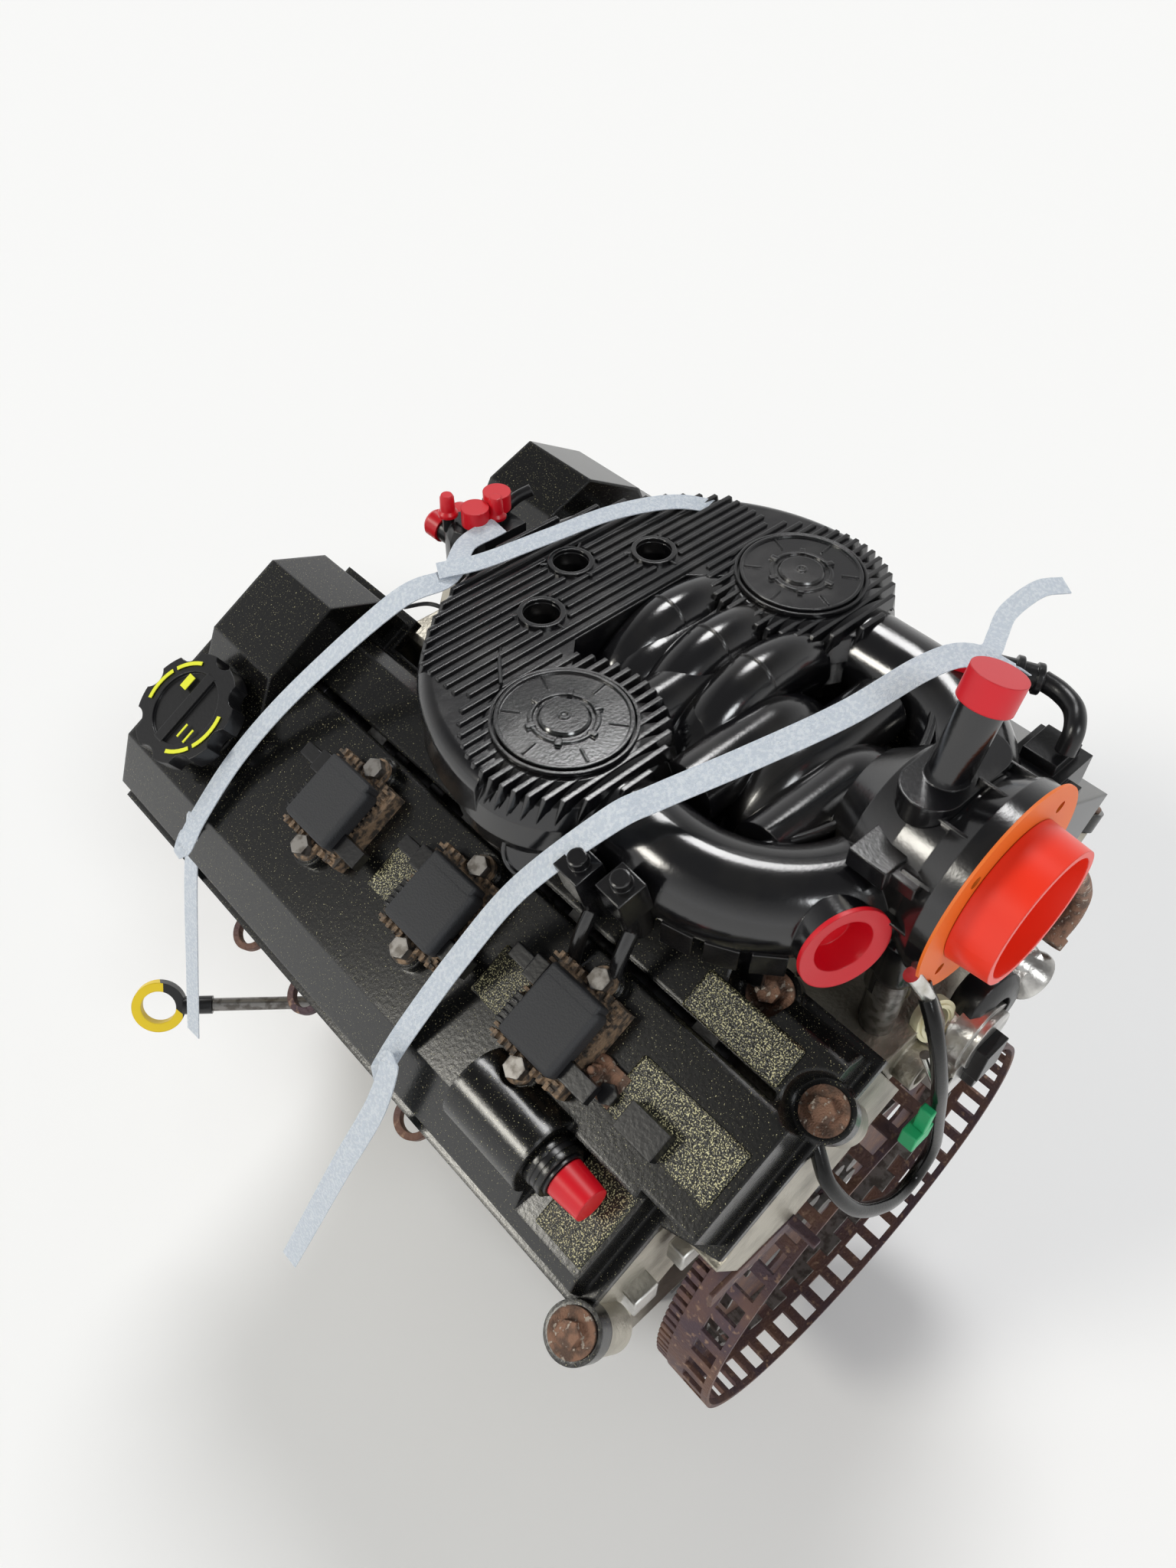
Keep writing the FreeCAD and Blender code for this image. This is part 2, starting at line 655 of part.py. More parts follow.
def damper_pulley():
    """A grooved belt rim on a hub, with the bore that takes the crank's nose."""
    rib = 3.6
    rim = [("pulley_r", 0)]
    for i in range(6):
        rim += [("pulley_r", f"6+{i}*{rib}"), ("pulley_r-3", f"6+{i}*{rib}+{rib}/2")]
    rim += [("pulley_r", f"6+6*{rib}"), ("pulley_r", "pulley_long"), ("pulley_r-10", "pulley_long"),
            ("pulley_r-12", 14), ("hub_r", 14), ("hub_r", "pulley_long+20"),
            ("nose_r", "pulley_long+20"), ("nose_r", 4), ("nose_r+2", 4), ("nose_r+2", 0)]
    node(turned(rim, (0, "-pulley_front", 0), "y"), "damper_pulley")


# ---------------------------------------------------------------- pistons and rods
def piston():
    """Crown up from the pin; the skirt is open below."""
    grooves = []
    for i in range(3):
        high = f"crown-6-{i}*6"
        grooves += [("bore_r-run_gap", high), ("bore_r-3", high),
                    ("bore_r-3", f"{high}-2"), ("bore_r-run_gap", f"{high}-2")]
    body = turned(
        [(0, "crown"), ("bore_r-run_gap", "crown")] + grooves
        + [("bore_r-run_gap", "-skirt"), ("bore_r-6", "-skirt"), ("bore_r-6", "crown-22"),
           ("bore_r-14", "crown-8"), (0, "crown-8")]
    )
    boss = common(
        rod("wrist_r+5", "2*bore_r", (0, "-bore_r", 0), "y"),
        rod("bore_r-3.2", "2*bore_r", (0, 0, "-bore_r")),
    )
    gap = box(("-bore_r", "-small_end/2-1", "-skirt"), ("2*bore_r", "small_end+2", "skirt+crown-9"))
    hole = rod("wrist_r", "2*bore_r", (0, "-bore_r", 0), "y")
    return cut(fuse(body, cut(boss, gap)), hole)


def connecting_rod():
    """Big end at the origin, small end along +Z."""
    big = rod("pin_r+9", "rod_wide", (0, "-rod_wide/2", 0), "y")
    small = rod("wrist_r+5", "small_end", (0, "-small_end/2", "rod_len"), "y")
    ears = box(("-pin_r-14", "-rod_wide/2+1", -14), ("2*pin_r+28", "rod_wide-2", 28))
    beam = slab(
        [("pin_r*0.6", "pin_r-2"), (9, "rod_len-wrist_r"), (-9, "rod_len-wrist_r"), ("-pin_r*0.6", "pin_r-2")],
        13, (0, 6.5, 0),
    )
    grooves = [
        slab(
            [("pin_r*0.6-7", "pin_r+14"), (4.5, "rod_len-wrist_r-10"), (-4.5, "rod_len-wrist_r-10"),
             ("-pin_r*0.6+7", "pin_r+14")],
            5, (0, y, 0),
        )
        for y in (8, -3)
    ]
    eye = rod("pin_r+run_gap", "rod_wide+2", (0, "-rod_wide/2-1", 0), "y")
    wrist = rod("wrist_r+run_gap", "small_end+2", (0, "-small_end/2-1", "rod_len"), "y")
    return cut(fuse(big, small, ears, cut(beam, *grooves)), eye, wrist)


def crank_train():
    """Pistons, pins and rods where a crank at rest holds them."""
    one_piston, one_rod = piston(), connecting_rod()
    pin = group(tube("wrist_r-run_gap", "wrist_r-5", "1.6*bore_r", (0, "-0.8*bore_r", 0), "y"))
    ring = tube("bore_r-run_gap/2", "bore_r-2.6", 1.6)
    pistons, pins, rods, rings = [], [], [], []
    for right in BANKS:
        sets = ([], [], [], [])
        for k in range(3):
            angle = f"({-120 if right else 120}*{k})"
            high = f"(throw*cos({angle})+sqrt(rod_len*rod_len-(throw*sin({angle}))^2))"
            y = cyl_y(k, right)
            sets[0].append(link(one_piston, (0, y, high)))
            sets[1].append(link(pin, (0, y, high)))
            lean = f"(360deg-asin(throw*sin({angle})/rod_len))"
            at = (f"throw*sin({angle})", y, f"throw*cos({angle})")
            sets[2].append(link(one_rod, at, (0, 1, 0), lean))
            for i in range(3):
                sets[3].append(link(ring, (0, y, f"{high}+crown-6-{i}*6-1.8")))
        for made, found in zip((pistons, pins, rods, rings), sets):
            made.append(on_bank(group(*found), right))
    node(group(*pistons, *rings), "pistons")
    node(group(*pins), "piston_pins")
    node(group(*rods), "connecting_rods")


# ---------------------------------------------------------------- cylinder heads and valves
VALVE_LEAN = "atan((cam_out-valve_out)/(cam_high-deck-gasket-3))"
VALVE_REACH = "sqrt((cam_out-valve_out)^2+(cam_high-deck-gasket-3)^2)"
EARS = [("cover_out+6", "3"), ("-55", "head_rear_in-4"), ("-ear_in", "-31")]


def at_valves(make, right):
    """Links a piece made below a cam's axis to each of a bank's twelve valves."""
    links = []
    for k in range(3):
        for shift in ("valve_y", "-valve_y"):
            y = f"{cyl_y(k, right)}+{shift}"
            links.append(link(make, ("cam_out", y, "cam_high"), (0, 1, 0), VALVE_LEAN))
            links.append(link(make, ("-cam_out", y, "cam_high"), (0, -1, 0), VALVE_LEAN))
    return links


def valve_space():
    """What a valve and its tappet need, below the cam's axis."""
    return fuse(
        rod("bucket_r+run_gap", "spring_seat-lobe_r+8", (0, 0, "-spring_seat")),
        rod("3+run_gap", "30", (0, 0, f"-{VALVE_REACH}")),
        rod("port_r+1", 9, (0, 0, f"-{VALVE_REACH}-1")),
        rod("port_r+4", 12, (0, 0, f"-{VALVE_REACH}-8")),
    )


def saddle_y(k, right):
    return f"(-saddle_first-{k}*pitch-{late(right)})"


def rear_of(place_rule, right):
    return f"({place_rule}-{late(right)})"


def head_and_boss(right):
    rear_in, rear_out = rear_of("head_rear_in", right), rear_of("-2", right)
    low = "(deck+gasket)"
    whole = box(
        ("-head_in", "-block_front", low), ("head_in+head_out", f"block_front+{rear_out}", f"head_top-{low}")
    )
    inner = box(
        ("-head_in", "-block_front", low), ("head_in+head_step_in", f"block_front+{rear_in}", f"head_top-{low}")
    )
    bosses = [
        rod("ear_r-2", "head_top-floor_high+8", (out, rear_of(y, right), "floor_high-8")) for out, y in EARS[:2]
    ]
    return fuse(whole, inner, *bosses)


def cylinder_head(right):
    low = "(deck+gasket)"
    galleries = []
    for side in ("cam_out", "-cam_out"):
        galleries.append(rod("cam_r+run_gap", "block_front+40", (side, "-block_front-1", "cam_high"), "y"))
        for k in range(3):
            at = (f"{side}-lobe_r-lobe_lift-2", f"{saddle_y(k, right)}+cap_wide/2-pitch", "floor_high")
            galleries.append(
                box(at, ("2*(lobe_r+lobe_lift+2)", "pitch-cap_wide", "head_top-floor_high+1"))
            )
    holes = [rod("ear_bolt_r-0.5", 22, (out, rear_of(y, right), "head_top-20")) for out, y in EARS]
    for k in range(3):
        y = cyl_y(k, right)
        holes.append(rod("bore_r", "chamber+1", (0, y, f"{low}-1")))
        holes.append(rod("plug_r", "head_top-deck", (0, y, "deck+chamber")))
        holes.append(rod("well_r", "head_top-deck-30", (0, y, "deck+31")))
        for shift in ("valve_y", "-valve_y"):
            for way in (1, -1):
                start = (f"{way}*valve_out", f"{y}+{shift}", f"{low}+10")
                holes.append(place(rod("port_r", 92), start, (0, way, 0), "90-port_rise"))
    tool = valve_space()
    head = cut(head_and_boss(right), *galleries, *holes, *at_valves(tool, right))
    node(on_bank(head, right), f"cylinder_head_{SIDES[right]}")


def head_gaskets():
    sheets = []
    for right in BANKS:
        plate = box(
            ("-deck_in", "-block_front", "deck"),
            ("deck_in+deck_out", f"block_front+{rear_of('-block_rear', right)}", "gasket"),
        )
        holes = [rod("bore_r+1", "gasket+2", (0, cyl_y(k, right), "deck-1")) for k in range(3)]
        sheets.append(on_bank(cut(plate, *holes), right))
    return sheets


def valve_gear():
    """Tappets, springs and valves along each valve's axis."""
    cup = cut(
        rod("bucket_r", 22, (0, 0, "-lobe_r-seat_gap-22")),
        rod("bucket_r-1.5", 20, (0, 0, "-lobe_r-seat_gap-23")),
    )
    coils = [("bucket_r-7", "-spring_seat+0.2")]
    turns = 6
    for i in range(turns):
        low = f"-spring_seat+0.2+{i}*(spring_seat-lobe_r-4)/{turns}"
        coils += [("bucket_r-4", low), ("bucket_r-2.5", f"{low}+(spring_seat-lobe_r-4)/{2 * turns}")]
    top = "-lobe_r-4+0.2"
    coils += [("bucket_r-4", top), ("bucket_r-7", top)]
    spring = turned(coils)
    valve = fuse(
        rod(3, f"{VALVE_REACH}-lobe_r-4-seat_gap", (0, 0, f"-{VALVE_REACH}")),
        cone("port_r+3", 3, 7, (0, 0, f"-{VALVE_REACH}-1")),
        rod("port_r+3", 2, (0, 0, f"-{VALVE_REACH}-3")),
    )
    for made, label in ((cup, "tappets"), (spring, "valve_springs"), (valve, "valves")):
        banks = [on_bank(group(*at_valves(made, right)), right) for right in BANKS]
        node(group(*banks), label)


def cam_lobe():
    nose = slab(
        [("lobe_r*0.95", 5), ("lobe_r*0.36", "lobe_r+lobe_lift-4"), ("-lobe_r*0.36", "lobe_r+lobe_lift-4"),
         ("-lobe_r*0.95", 5)],
        12, (0, 12, 0),
    )
    tip = rod("lobe_r*0.4", 12, (0, 0, "lobe_r*0.6+lobe_lift"), "y")
    return fuse(rod("lobe_r", 12, (0, 0, 0), "y"), nose, tip)


def camshaft(right, exhaust):
    """Shaft, lobes and sprockets of one cam, in its bank's frame."""
    lobe = cam_lobe()
    pieces = [rod("cam_r", f"cam_front+{rear_of('-saddle_first+16', right)}", (0, "-cam_front", 0), "y")]
    for k in range(3):
        angle = 120 * ((1, 2, 0)[k] if right else k) + (13.8 if exhaust else 106.2)
        for shift in ("valve_y", "-valve_y"):
            pieces.append(link(lobe, (0, f"{cyl_y(k, right)}+{shift}-6", 0), (0, 1, 0), angle))
    shaft = fuse(*pieces)
    gears = [sprocket("cam2_gear_r", "chain2_y", "cam_r")]
    if not exhaust:
        gears.append(sprocket("cam_gear_r", "chain_y", "cam_r"))
    place_at = group(shaft, *gears)
    place(place_at, ("cam_out" if exhaust else "-cam_out", 0, "cam_high"))
    label = f"camshaft_{'exhaust' if exhaust else 'intake'}_{SIDES[right]}"
    node(on_bank(group(place_at), right), label)


def sprocket(radius, plane, bore):
    """A sprocket whose teeth end just inside the chain."""
    rim = rod(f"{radius}-chain_in-seat_gap", "sprocket_wide", (0, f"-{plane}-sprocket_wide/2", 0), "y")
    teeth = int(round(2 * math.pi * size(radius) / 8))
    gap = rod(1.6, "sprocket_wide+2")
    notches = [
        link(gap, (f"({radius}-chain_in)*sin({360 * i / teeth:.4f})", f"-{plane}-sprocket_wide/2-1",
                   f"({radius}-chain_in)*cos({360 * i / teeth:.4f})"), (-1, 0, 0), 90)
        for i in range(teeth)
    ]
    notches.append(rod(bore, "sprocket_wide+2", (0, f"-{plane}-sprocket_wide/2-1", 0), "y"))
    return cut(rim, *notches)


def cam_caps():
    caps = []
    for right in BANKS:
        row = []
        for k in range(4):
            for side in ("cam_out", "-cam_out"):
                y = f"{saddle_y(k, right)}-cap_wide/2"
                cap = box((f"{side}-lobe_r-6", y, "head_top"), ("2*lobe_r+12", "cap_wide", 16))
                hole = rod("cam_r+run_gap", "cap_wide+2", (side, f"{y}-1", "cam_high"), "y")
                row.append(cut(cap, hole))
        caps.append(on_bank(group(*row), right))
    node(group(*caps), "cam_caps")


# ---------------------------------------------------------------- timing drive
def cam_centre(right, exhaust):
    tilt = math.radians(size("bank_angle"))
    out = size("cam_out") * (1 if exhaust else -1)
    across = out * math.cos(tilt) + size("cam_high") * math.sin(tilt)
    up = size("cam_high") * math.cos(tilt) - out * math.sin(tilt)
    return (-across if right else across, up)


def belt_wire(wheels, offset, plane):
    """A loop round wheels of (x, z, radius, sense); sense -1 wheels press on the loop's back."""
    lines = []
    for (ax, az, ar, asense), (bx, bz, br, bsense) in zip(wheels, wheels[1:] + wheels[:1]):
        near, far = asense * (ar + asense * offset), bsense * (br + bsense * offset)
        reach, heading = math.hypot(bx - ax, bz - az), math.atan2(bz - az, bx - ax)
        heading -= math.asin((far - near) / reach)
        left = (-math.sin(heading), math.cos(heading))
        lines.append(
            (Vector(ax - left[0] * near, -plane, az - left[1] * near),
             Vector(bx - left[0] * far, -plane, bz - left[1] * far))
        )
    edges = []
    for i, wheel in enumerate(wheels):
        start, end = lines[i - 1][1], lines[i][0]
        middle = Vector(wheel[0], -plane, wheel[1])
        first = math.atan2(start.z - middle.z, start.x - middle.x)
        last = math.atan2(end.z - middle.z, end.x - middle.x)
        sweep = (last - first) % (2 * math.pi) if wheel[3] > 0 else -((first - last) % (2 * math.pi))
        radius = wheel[2] + wheel[3] * offset
        half = Vector(math.cos(first + sweep / 2), 0, math.sin(first + sweep / 2)) * radius
        edges.append(Part.Arc(start, middle + half, end).toShape())
        edges.append(Part.LineSegment(lines[i][0], lines[i][1]).toShape())
    return Part.Wire(edges)


def chain(wheels, plane):
    half = size("chain_wide") / 2
    outer = belt_wire(wheels, size("chain_out"), plane - half)
    inner = belt_wire(wheels, -size("chain_in"), plane - half)
    return Part.makeFace([outer, inner], "Part::FaceMakerBullseye").extrude(Vector(0, -2 * half, 0))


def feature(shape, name):
    thing = doc.addObject("Part::Feature", name)
    thing.Shape = shape
    return thing


def timing_drive():
    small, large, pair = size("crank_gear_r"), size("cam_gear_r"), size("cam2_gear_r")
    left, right = cam_centre(False, False), cam_centre(True, False)
    pump = (0, size("pump_high"), small + size("chain_out") - size("chain_in"), -1)
    loop = [(0, 0, small, 1), (*left, large, 1), pump, (*right, large, 1)]
    loops = [feature(chain(loop, size("chain_y")), "loop")]
    for side in BANKS:
        wheels = [(*cam_centre(side, True), pair, 1), (*cam_centre(side, False), pair, 1)]
        if side:
            wheels.reverse()
        loops.append(feature(chain(wheels, size("chain2_y")), "loop"))
    node(group(*loops), "timing_chains")
    node(sprocket("crank_gear_r", "chain_y", "nose_r"), "crank_sprocket")
    rotor = fuse(
        place(sprocket("crank_gear_r", "chain_y", 6), (0, 0, 0)),
        rod(7, "chain_y-block_front+44-seat_gap", (0, "-chain_y-4", 0), "y"),
        rod("pump_r-5", 5, (0, "-block_front+32", 0), "y"),
        *[box((-1.5, "-block_front+22", 8), (3, 11, "pump_r-14"), (0, 1, 0), 45 * i) for i in range(8)],
    )
    node(place(rotor, (0, 0, "pump_high")), "water_pump_rotor")
    house = tube("pump_r", "pump_r-4", 46, (0, "-block_front", 0), "y")
    end = tube("pump_r", "7+run_gap", 12, (0, "-block_front", 0), "y")
    feet = cut(
        box(("-pump_r*0.5", "-block_front", f"-pump_high+{FLOOR}"), ("pump_r", 46, f"pump_high-{FLOOR}")),
        rod("pump_r-2", 50, (0, "-block_front-1", 0), "y"),
    )
    back = rod("pump_r", 6, (0, "-block_front+40", 0), "y")
    node(place(fuse(house, end, feet, back), (0, 0, "pump_high")), "water_pump_housing")


def timing_cover():
    outer = [
        ("skirt_half-12", "-bed_deep"),
        ("skirt_half", "10"),
        (bank_x("deck_out+8", "deck*0.6"), bank_z("deck_out+8", "deck*0.6")),
        (bank_x("head_out", "deck"), bank_z("head_out", "deck")),
        (bank_x("head_out", "head_top"), bank_z("head_out", "head_top")),
        (bank_x("-turret_in", "head_top"), bank_z("-turret_in", "head_top")),
        ("wall+18", "valley_mid"),
    ]
    inner = [
        ("skirt_half-12-wall", "-bed_deep+wall"),
        ("skirt_half-wall", "10"),
        (bank_x("deck_out+8-wall", "deck*0.6"), bank_z("deck_out+8-wall", "deck*0.6")),
        (bank_x("head_out-wall", "deck+wall"), bank_z("head_out-wall", "deck+wall")),
        (bank_x("head_out-wall", "head_top+1"), bank_z("head_out-wall", "head_top+1")),
        (bank_x("-turret_in+wall*0.6", "head_top+1"), bank_z("-turret_in+wall*0.6", "head_top+1")),
        ("wall*2+18", "valley_mid-wall"),
    ]
    deep = "timing_front-block_front"
    shell = slab(both_ways(outer), deep, (0, "-block_front", 0))
    hollow = slab(both_ways(inner), f"{deep}-wall+1", (0, "-block_front+1", 0))
    ribs = [
        box((-4, "-timing_front-5", 60), (8, 6, 110), (0, 1, 0), angle) for angle in (-24, 0, 24)
    ]
    pads = [
        rod(12, 6, (x, "-timing_front-5", z), "y")
        for x, z in (("skirt_half-30", "-bed_deep+22"), ("-skirt_half+30", "-bed_deep+22"))
    ]
    eye = rod("seal_r", "wall+12", (0, "-timing_front-6", 0), "y")
    collar = rod("seal_r+9", 6, (0, "-timing_front-5", 0), "y")
    node(cut(fuse(cut(shell, hollow), collar, *ribs, *pads), eye), "timing_cover")


# ---------------------------------------------------------------- valve covers and ignition
def cover_plan(grow, right):
    step = "head_step_in"
    return [
        (f"-cover_in-{grow}", f"-cover_front-{grow}"), (f"cover_out+{grow}", f"-cover_front-{grow}"),
        (f"cover_out+{grow}", f"{rear_of('0', right)}+{grow}"),
        (f"{step}+{grow}", f"{rear_of('0', right)}+{grow}"),
        (f"{step}-9+{grow}", f"{rear_of('head_rear_in', right)}+{grow}+2"),
        (f"-cover_in-{grow}", f"{rear_of('head_rear_in', right)}+{grow}+2"),
    ]


def cover_section(shrink, low):
    """The cover's cross-section: flat top, broad outer shoulder."""
    return [
        (f"-head_in+{shrink}", low), (f"-head_in+{shrink}", f"pad_high-10-{shrink}*0.5"),
        (f"-head_in+8+{shrink}*0.5", f"pad_high-{shrink}"), (f"-pad_out-{shrink}", f"pad_high-{shrink}"),
        (f"-pad_out+5-{shrink}*0.5", f"cover_high-{shrink}"),
        (f"cover_out-40-{shrink}*0.5", f"cover_high-{shrink}"),
        (f"cover_out-9-{shrink}", f"cover_low-{shrink}*0.5"), (f"cover_out-5-{shrink}", low),
    ]


def turret_section(shrink, low):
    return [
        (f"-turret_in+{shrink}", low), (f"-turret_in+{shrink}", "turret_high-32"),
        (f"-turret_in+26+{shrink}*0.4", f"turret_high-{shrink}"),
        (f"-turret_out-26-{shrink}*0.4", f"turret_high-{shrink}"),
        (f"-turret_out-{shrink}", f"cover_high+3-{shrink}"), (f"-turret_out-{shrink}", low),
    ]


def cover_solid(shrink, low, right):
    front, gap = f"-cover_front+6+{shrink}", f"{shrink}"
    main = slab(
        cover_section(shrink, low), f"cover_front-6-{gap}+{rear_of('-8', right)}-{gap}",
        (0, f"{rear_of('-8', right)}-{gap}", 0),
    )
    inner = common(
        slab(cover_section(shrink, low), "200", (0, f"{rear_of('head_rear_in-4', right)}-{gap}", 0)),
        box(("-cover_in", -150, low), ("cover_in+head_step_in-14", 300, 200)),
    )
    turret = slab(
        turret_section(shrink, low), f"turret_front-turret_rear-2*{gap}", (0, f"-turret_rear-{gap}", 0)
    )
    return fuse(main, inner, turret)


def valve_cover(right):
    base = "(head_top+cover_gasket)"
    lip = slab(cover_plan(0, right), "cover_lip", (0, 0, base), flat=True)
    turret_lip = box(
        ("-turret_in-6", "-turret_front-6", base), ("turret_in", "turret_front-turret_rear+12", "cover_lip")
    )
    ears, ear_holes = [], []
    for out, y in EARS:
        at = (out, rear_of(y, right))
        ears.append(rod("ear_r", 15, (*at, base)))
        ear_holes.append(rod("ear_bolt_r", 40, (*at, "head_top-10")))
    posts, wells = [], []
    for k in range(3):
        y = cyl_y(k, right)
        posts.append(rod(9, f"coil_high-{base}-24", ("coil_bolt", y, f"{base}+24")))
        posts.append(rod(9, f"coil_high-{base}-24", ("-coil_bolt", f"{y}+4", f"{base}+24")))
        posts.append(rod("well_r+4", f"cover_high-{base}", (0, y, base)))
        wells.append(rod("well_r", 80, (0, y, "head_top-10")))
        wells.append(rod("ear_bolt_r", 24, ("coil_bolt", y, "coil_high-21")))
        wells.append(rod(9.5, 30, ("coil_bolt", y, "coil_high")))
        wells.append(rod("ear_bolt_r", 24, ("-coil_bolt", f"{y}+4", "coil_high-21")))
    body = fuse(cover_solid(0, base, right), lip, turret_lip, *ears)
    hollow = cover_solid("skin", "head_top-1", right)
    if not right:
        low = "pcv_floor"
        body = cut(body, box(("pcv_out-18", "pcv_back", low), (80, 60, 60)))
        hollow = cut(hollow, box(("pcv_out-18-skin", "pcv_back-skin", f"{low}-skin"), (90, 70, 60)))
    pockets = []
    for out, y in EARS:
        at = (out, rear_of(y, right))
        lining = rod("ear_r+4", f"cover_high-{base}", (*at, base))
        pockets.append(common(lining, cover_solid(0, base, right)))
        wells.append(rod("ear_r+1", 60, (*at, f"{base}+15")))
    fittings = fuse(*posts, *pockets)
    extras, bores = [], []
    if not right:
        extras.append(rod("filler_r+6", "filler_high-cover_high+6", ("filler_out", "-filler_y", "cover_high-6")))
        bores.append(rod("filler_r", 60, ("filler_out", "-filler_y", "filler_high-55")))
        extras.append(rod("pcv_r", "pcv_long", ("pcv_out", "pcv_back-pcv_long", "cover_high-3"), "y"))
    shape = fuse(cut(body, hollow), fittings, *extras)
    node(on_bank(cut(shape, *wells, *bores, *ear_holes), right), f"valve_cover_{SIDES[right]}")


def gaskets():
    rims = head_gaskets()
    for right in BANKS:
        plan = cover_plan("-seat_gap", right)
        sheet_plan = slab(plan, "cover_gasket", (0, 0, "head_top"), flat=True)
        inner = slab(cover_plan("-13", right), "cover_gasket+2", (0, 0, "head_top-1"), flat=True)
        bay = box(
            ("-turret_in+6", "-turret_front+4", "head_top-1"),
            ("turret_in", "turret_front-turret_rear-8", "cover_gasket+2"),
        )
        holes = [rod("ear_bolt_r+0.5", 8, (out, rear_of(y, right), "head_top-3")) for out, y in EARS]
        rims.append(on_bank(cut(sheet_plan, inner, bay, *holes), right))
    node(group(*rims), "gaskets")


def hexagon(across, tall, at=(0, 0, 0)):
    thing = doc.addObject("Part::Prism", "hex")
    thing.Polygon = 6
    bind(thing, "Circumradius", across)
    bind(thing, "Height", tall)
    return place(thing, at)


def cover_bolts():
    """Bolts of the covers' ears and of the coils."""
    coil_bolt = fuse(hexagon(6.5, 6), rod("ear_bolt_r-0.1", 20, (0, 0, -20)))
    bolt = fuse(
        hexagon("ear_bolt_r*2", 6, (0, 0, 2)),
        rod("ear_r-3", 2),
        rod("ear_bolt_r-0.5-run_gap", 32, (0, 0, -32)),
    )
    rows = []
    for right in BANKS:
        top = "head_top+cover_gasket+15"
        row = [link(bolt, (out, rear_of(y, right), top)) for out, y in EARS]
        for k in range(3):
            y = cyl_y(k, right)
            row.append(link(coil_bolt, ("coil_bolt", y, "coil_high+3")))
            row.append(link(coil_bolt, ("-coil_bolt", f"{y}+4", "coil_high+3")))
        rows.append(on_bank(group(*row), right))
    node(group(*rows), "cover_bolts")


def spark_plug():
    return turned(
        [(0, "deck+2"), (1.5, "deck+2"), (1.5, "deck+chamber-1"), ("plug_r-run_gap", "deck+chamber-1"),
         ("plug_r-run_gap", "deck+31"), ("well_r-1", "deck+31"), ("well_r-1", "deck+39"),
         (5, "deck+43"), (5, "deck+70"), (0, "deck+70")]
    )


def coil_pieces():
    """Laminated core with bolt ears, moulded body with its boot, and the cap on top."""
    base = "coil_high"
    frame = box(("-coil_half-4", "-coil_half+2", f"{base}-8"), ("2*coil_half+8", "2*coil_half", 11))
    ears = [
        rod(8, 3, ("coil_bolt", 0, base)), rod(8, 3, ("-coil_bolt", 4, base)),
    ]
    opening = box(("-coil_half+7", "-coil_half+8", f"{base}-9"), ("2*coil_half-14", "2*coil_half-12", 14))
    holes = [
        rod("ear_bolt_r", 20, ("coil_bolt", 0, f"{base}-9")),
        rod("ear_bolt_r", 20, ("-coil_bolt", 4, f"{base}-9")),
    ]
    posts = [
        rod("9+seat_gap", 9, ("coil_bolt", 0, f"{base}-9")),
        rod("9+seat_gap", 9, ("-coil_bolt", 4, f"{base}-9")),
    ]
    core = cut(fuse(frame, *ears), opening, *holes, *posts)
    body = box(
        ("-coil_half+7+seat_gap", "-coil_half+8+seat_gap", "cover_high+0.5"),
        ("2*(coil_half-7-seat_gap)", "2*(coil_half-6-seat_gap)", f"{base}-cover_high+7"),
    )
    boot = rod("well_r-1", "cover_high-deck-45", (0, 0, "deck+46"))
    cup = rod(5.3, 26, (0, 0, "deck+45"))
    plug = box((8, "coil_half-7", f"{base}+3+seat_gap"), (11, 24, 7))
    doc.recompute()
    cap_box = box(
        ("-coil_half+4", "-coil_half+6", f"{base}+7.5"), ("2*coil_half-6", "2*coil_half-8", "coil_tall-15")
    )
    doc.recompute()
    cap = soften(cap_box, 4, lambda e: e.BoundBox.ZMax > size("coil_high") + 9)
    room = box(
        ("8-seat_gap", "coil_half-7-seat_gap", f"{base}+3"), ("11+2*seat_gap", 24, "7+2*seat_gap")
    )
    cap = cut(cap, room)
    return core, fuse(cut(boot, cup), body, plug), cap


def ignition():
    core, body, cap = coil_pieces()
    plug = spark_plug()
    made = {"spark_plugs": plug, "coil_cores": core, "ignition_coils": body, "coil_caps": cap}
    for label, thing in made.items():
        banks = [
            on_bank(group(*[link(thing, (0, cyl_y(k, right), 0)) for k in range(3)]), right)
            for right in BANKS
        ]
        node(group(*banks), label)


def oil_cap():
    """A scalloped hand wheel that turns in the filler's mouth; its seal lies under the rim."""
    rim = rod("cap_r", 13, (0, 0, "seat_gap"))
    scallops = [
        rod(9, 20, (f"(cap_r+4)*sin({45 * i})", f"(cap_r+4)*cos({45 * i})", -1)) for i in range(8)
    ]
    plug = rod("filler_r-0.3", 14, (0, 0, -13))
    dish = rod("cap_r-13", 3, (0, 0, "11+seat_gap"))
    grip = box((-26, -4, "8+seat_gap"), (52, 8, 5.5))
    cap = fuse(cut(rim, dish, *scallops), grip, plug)
    seal = tube("filler_r+5", "filler_r", 2)
    at = ("filler_out", "-filler_y", "filler_high+2")
    node(on_bank(group(place(cap, at)), False), "oil_cap")
    at = ("filler_out", "-filler_y", "filler_high")
    node(on_bank(group(place(seal, at)), False), "oil_cap_seal")


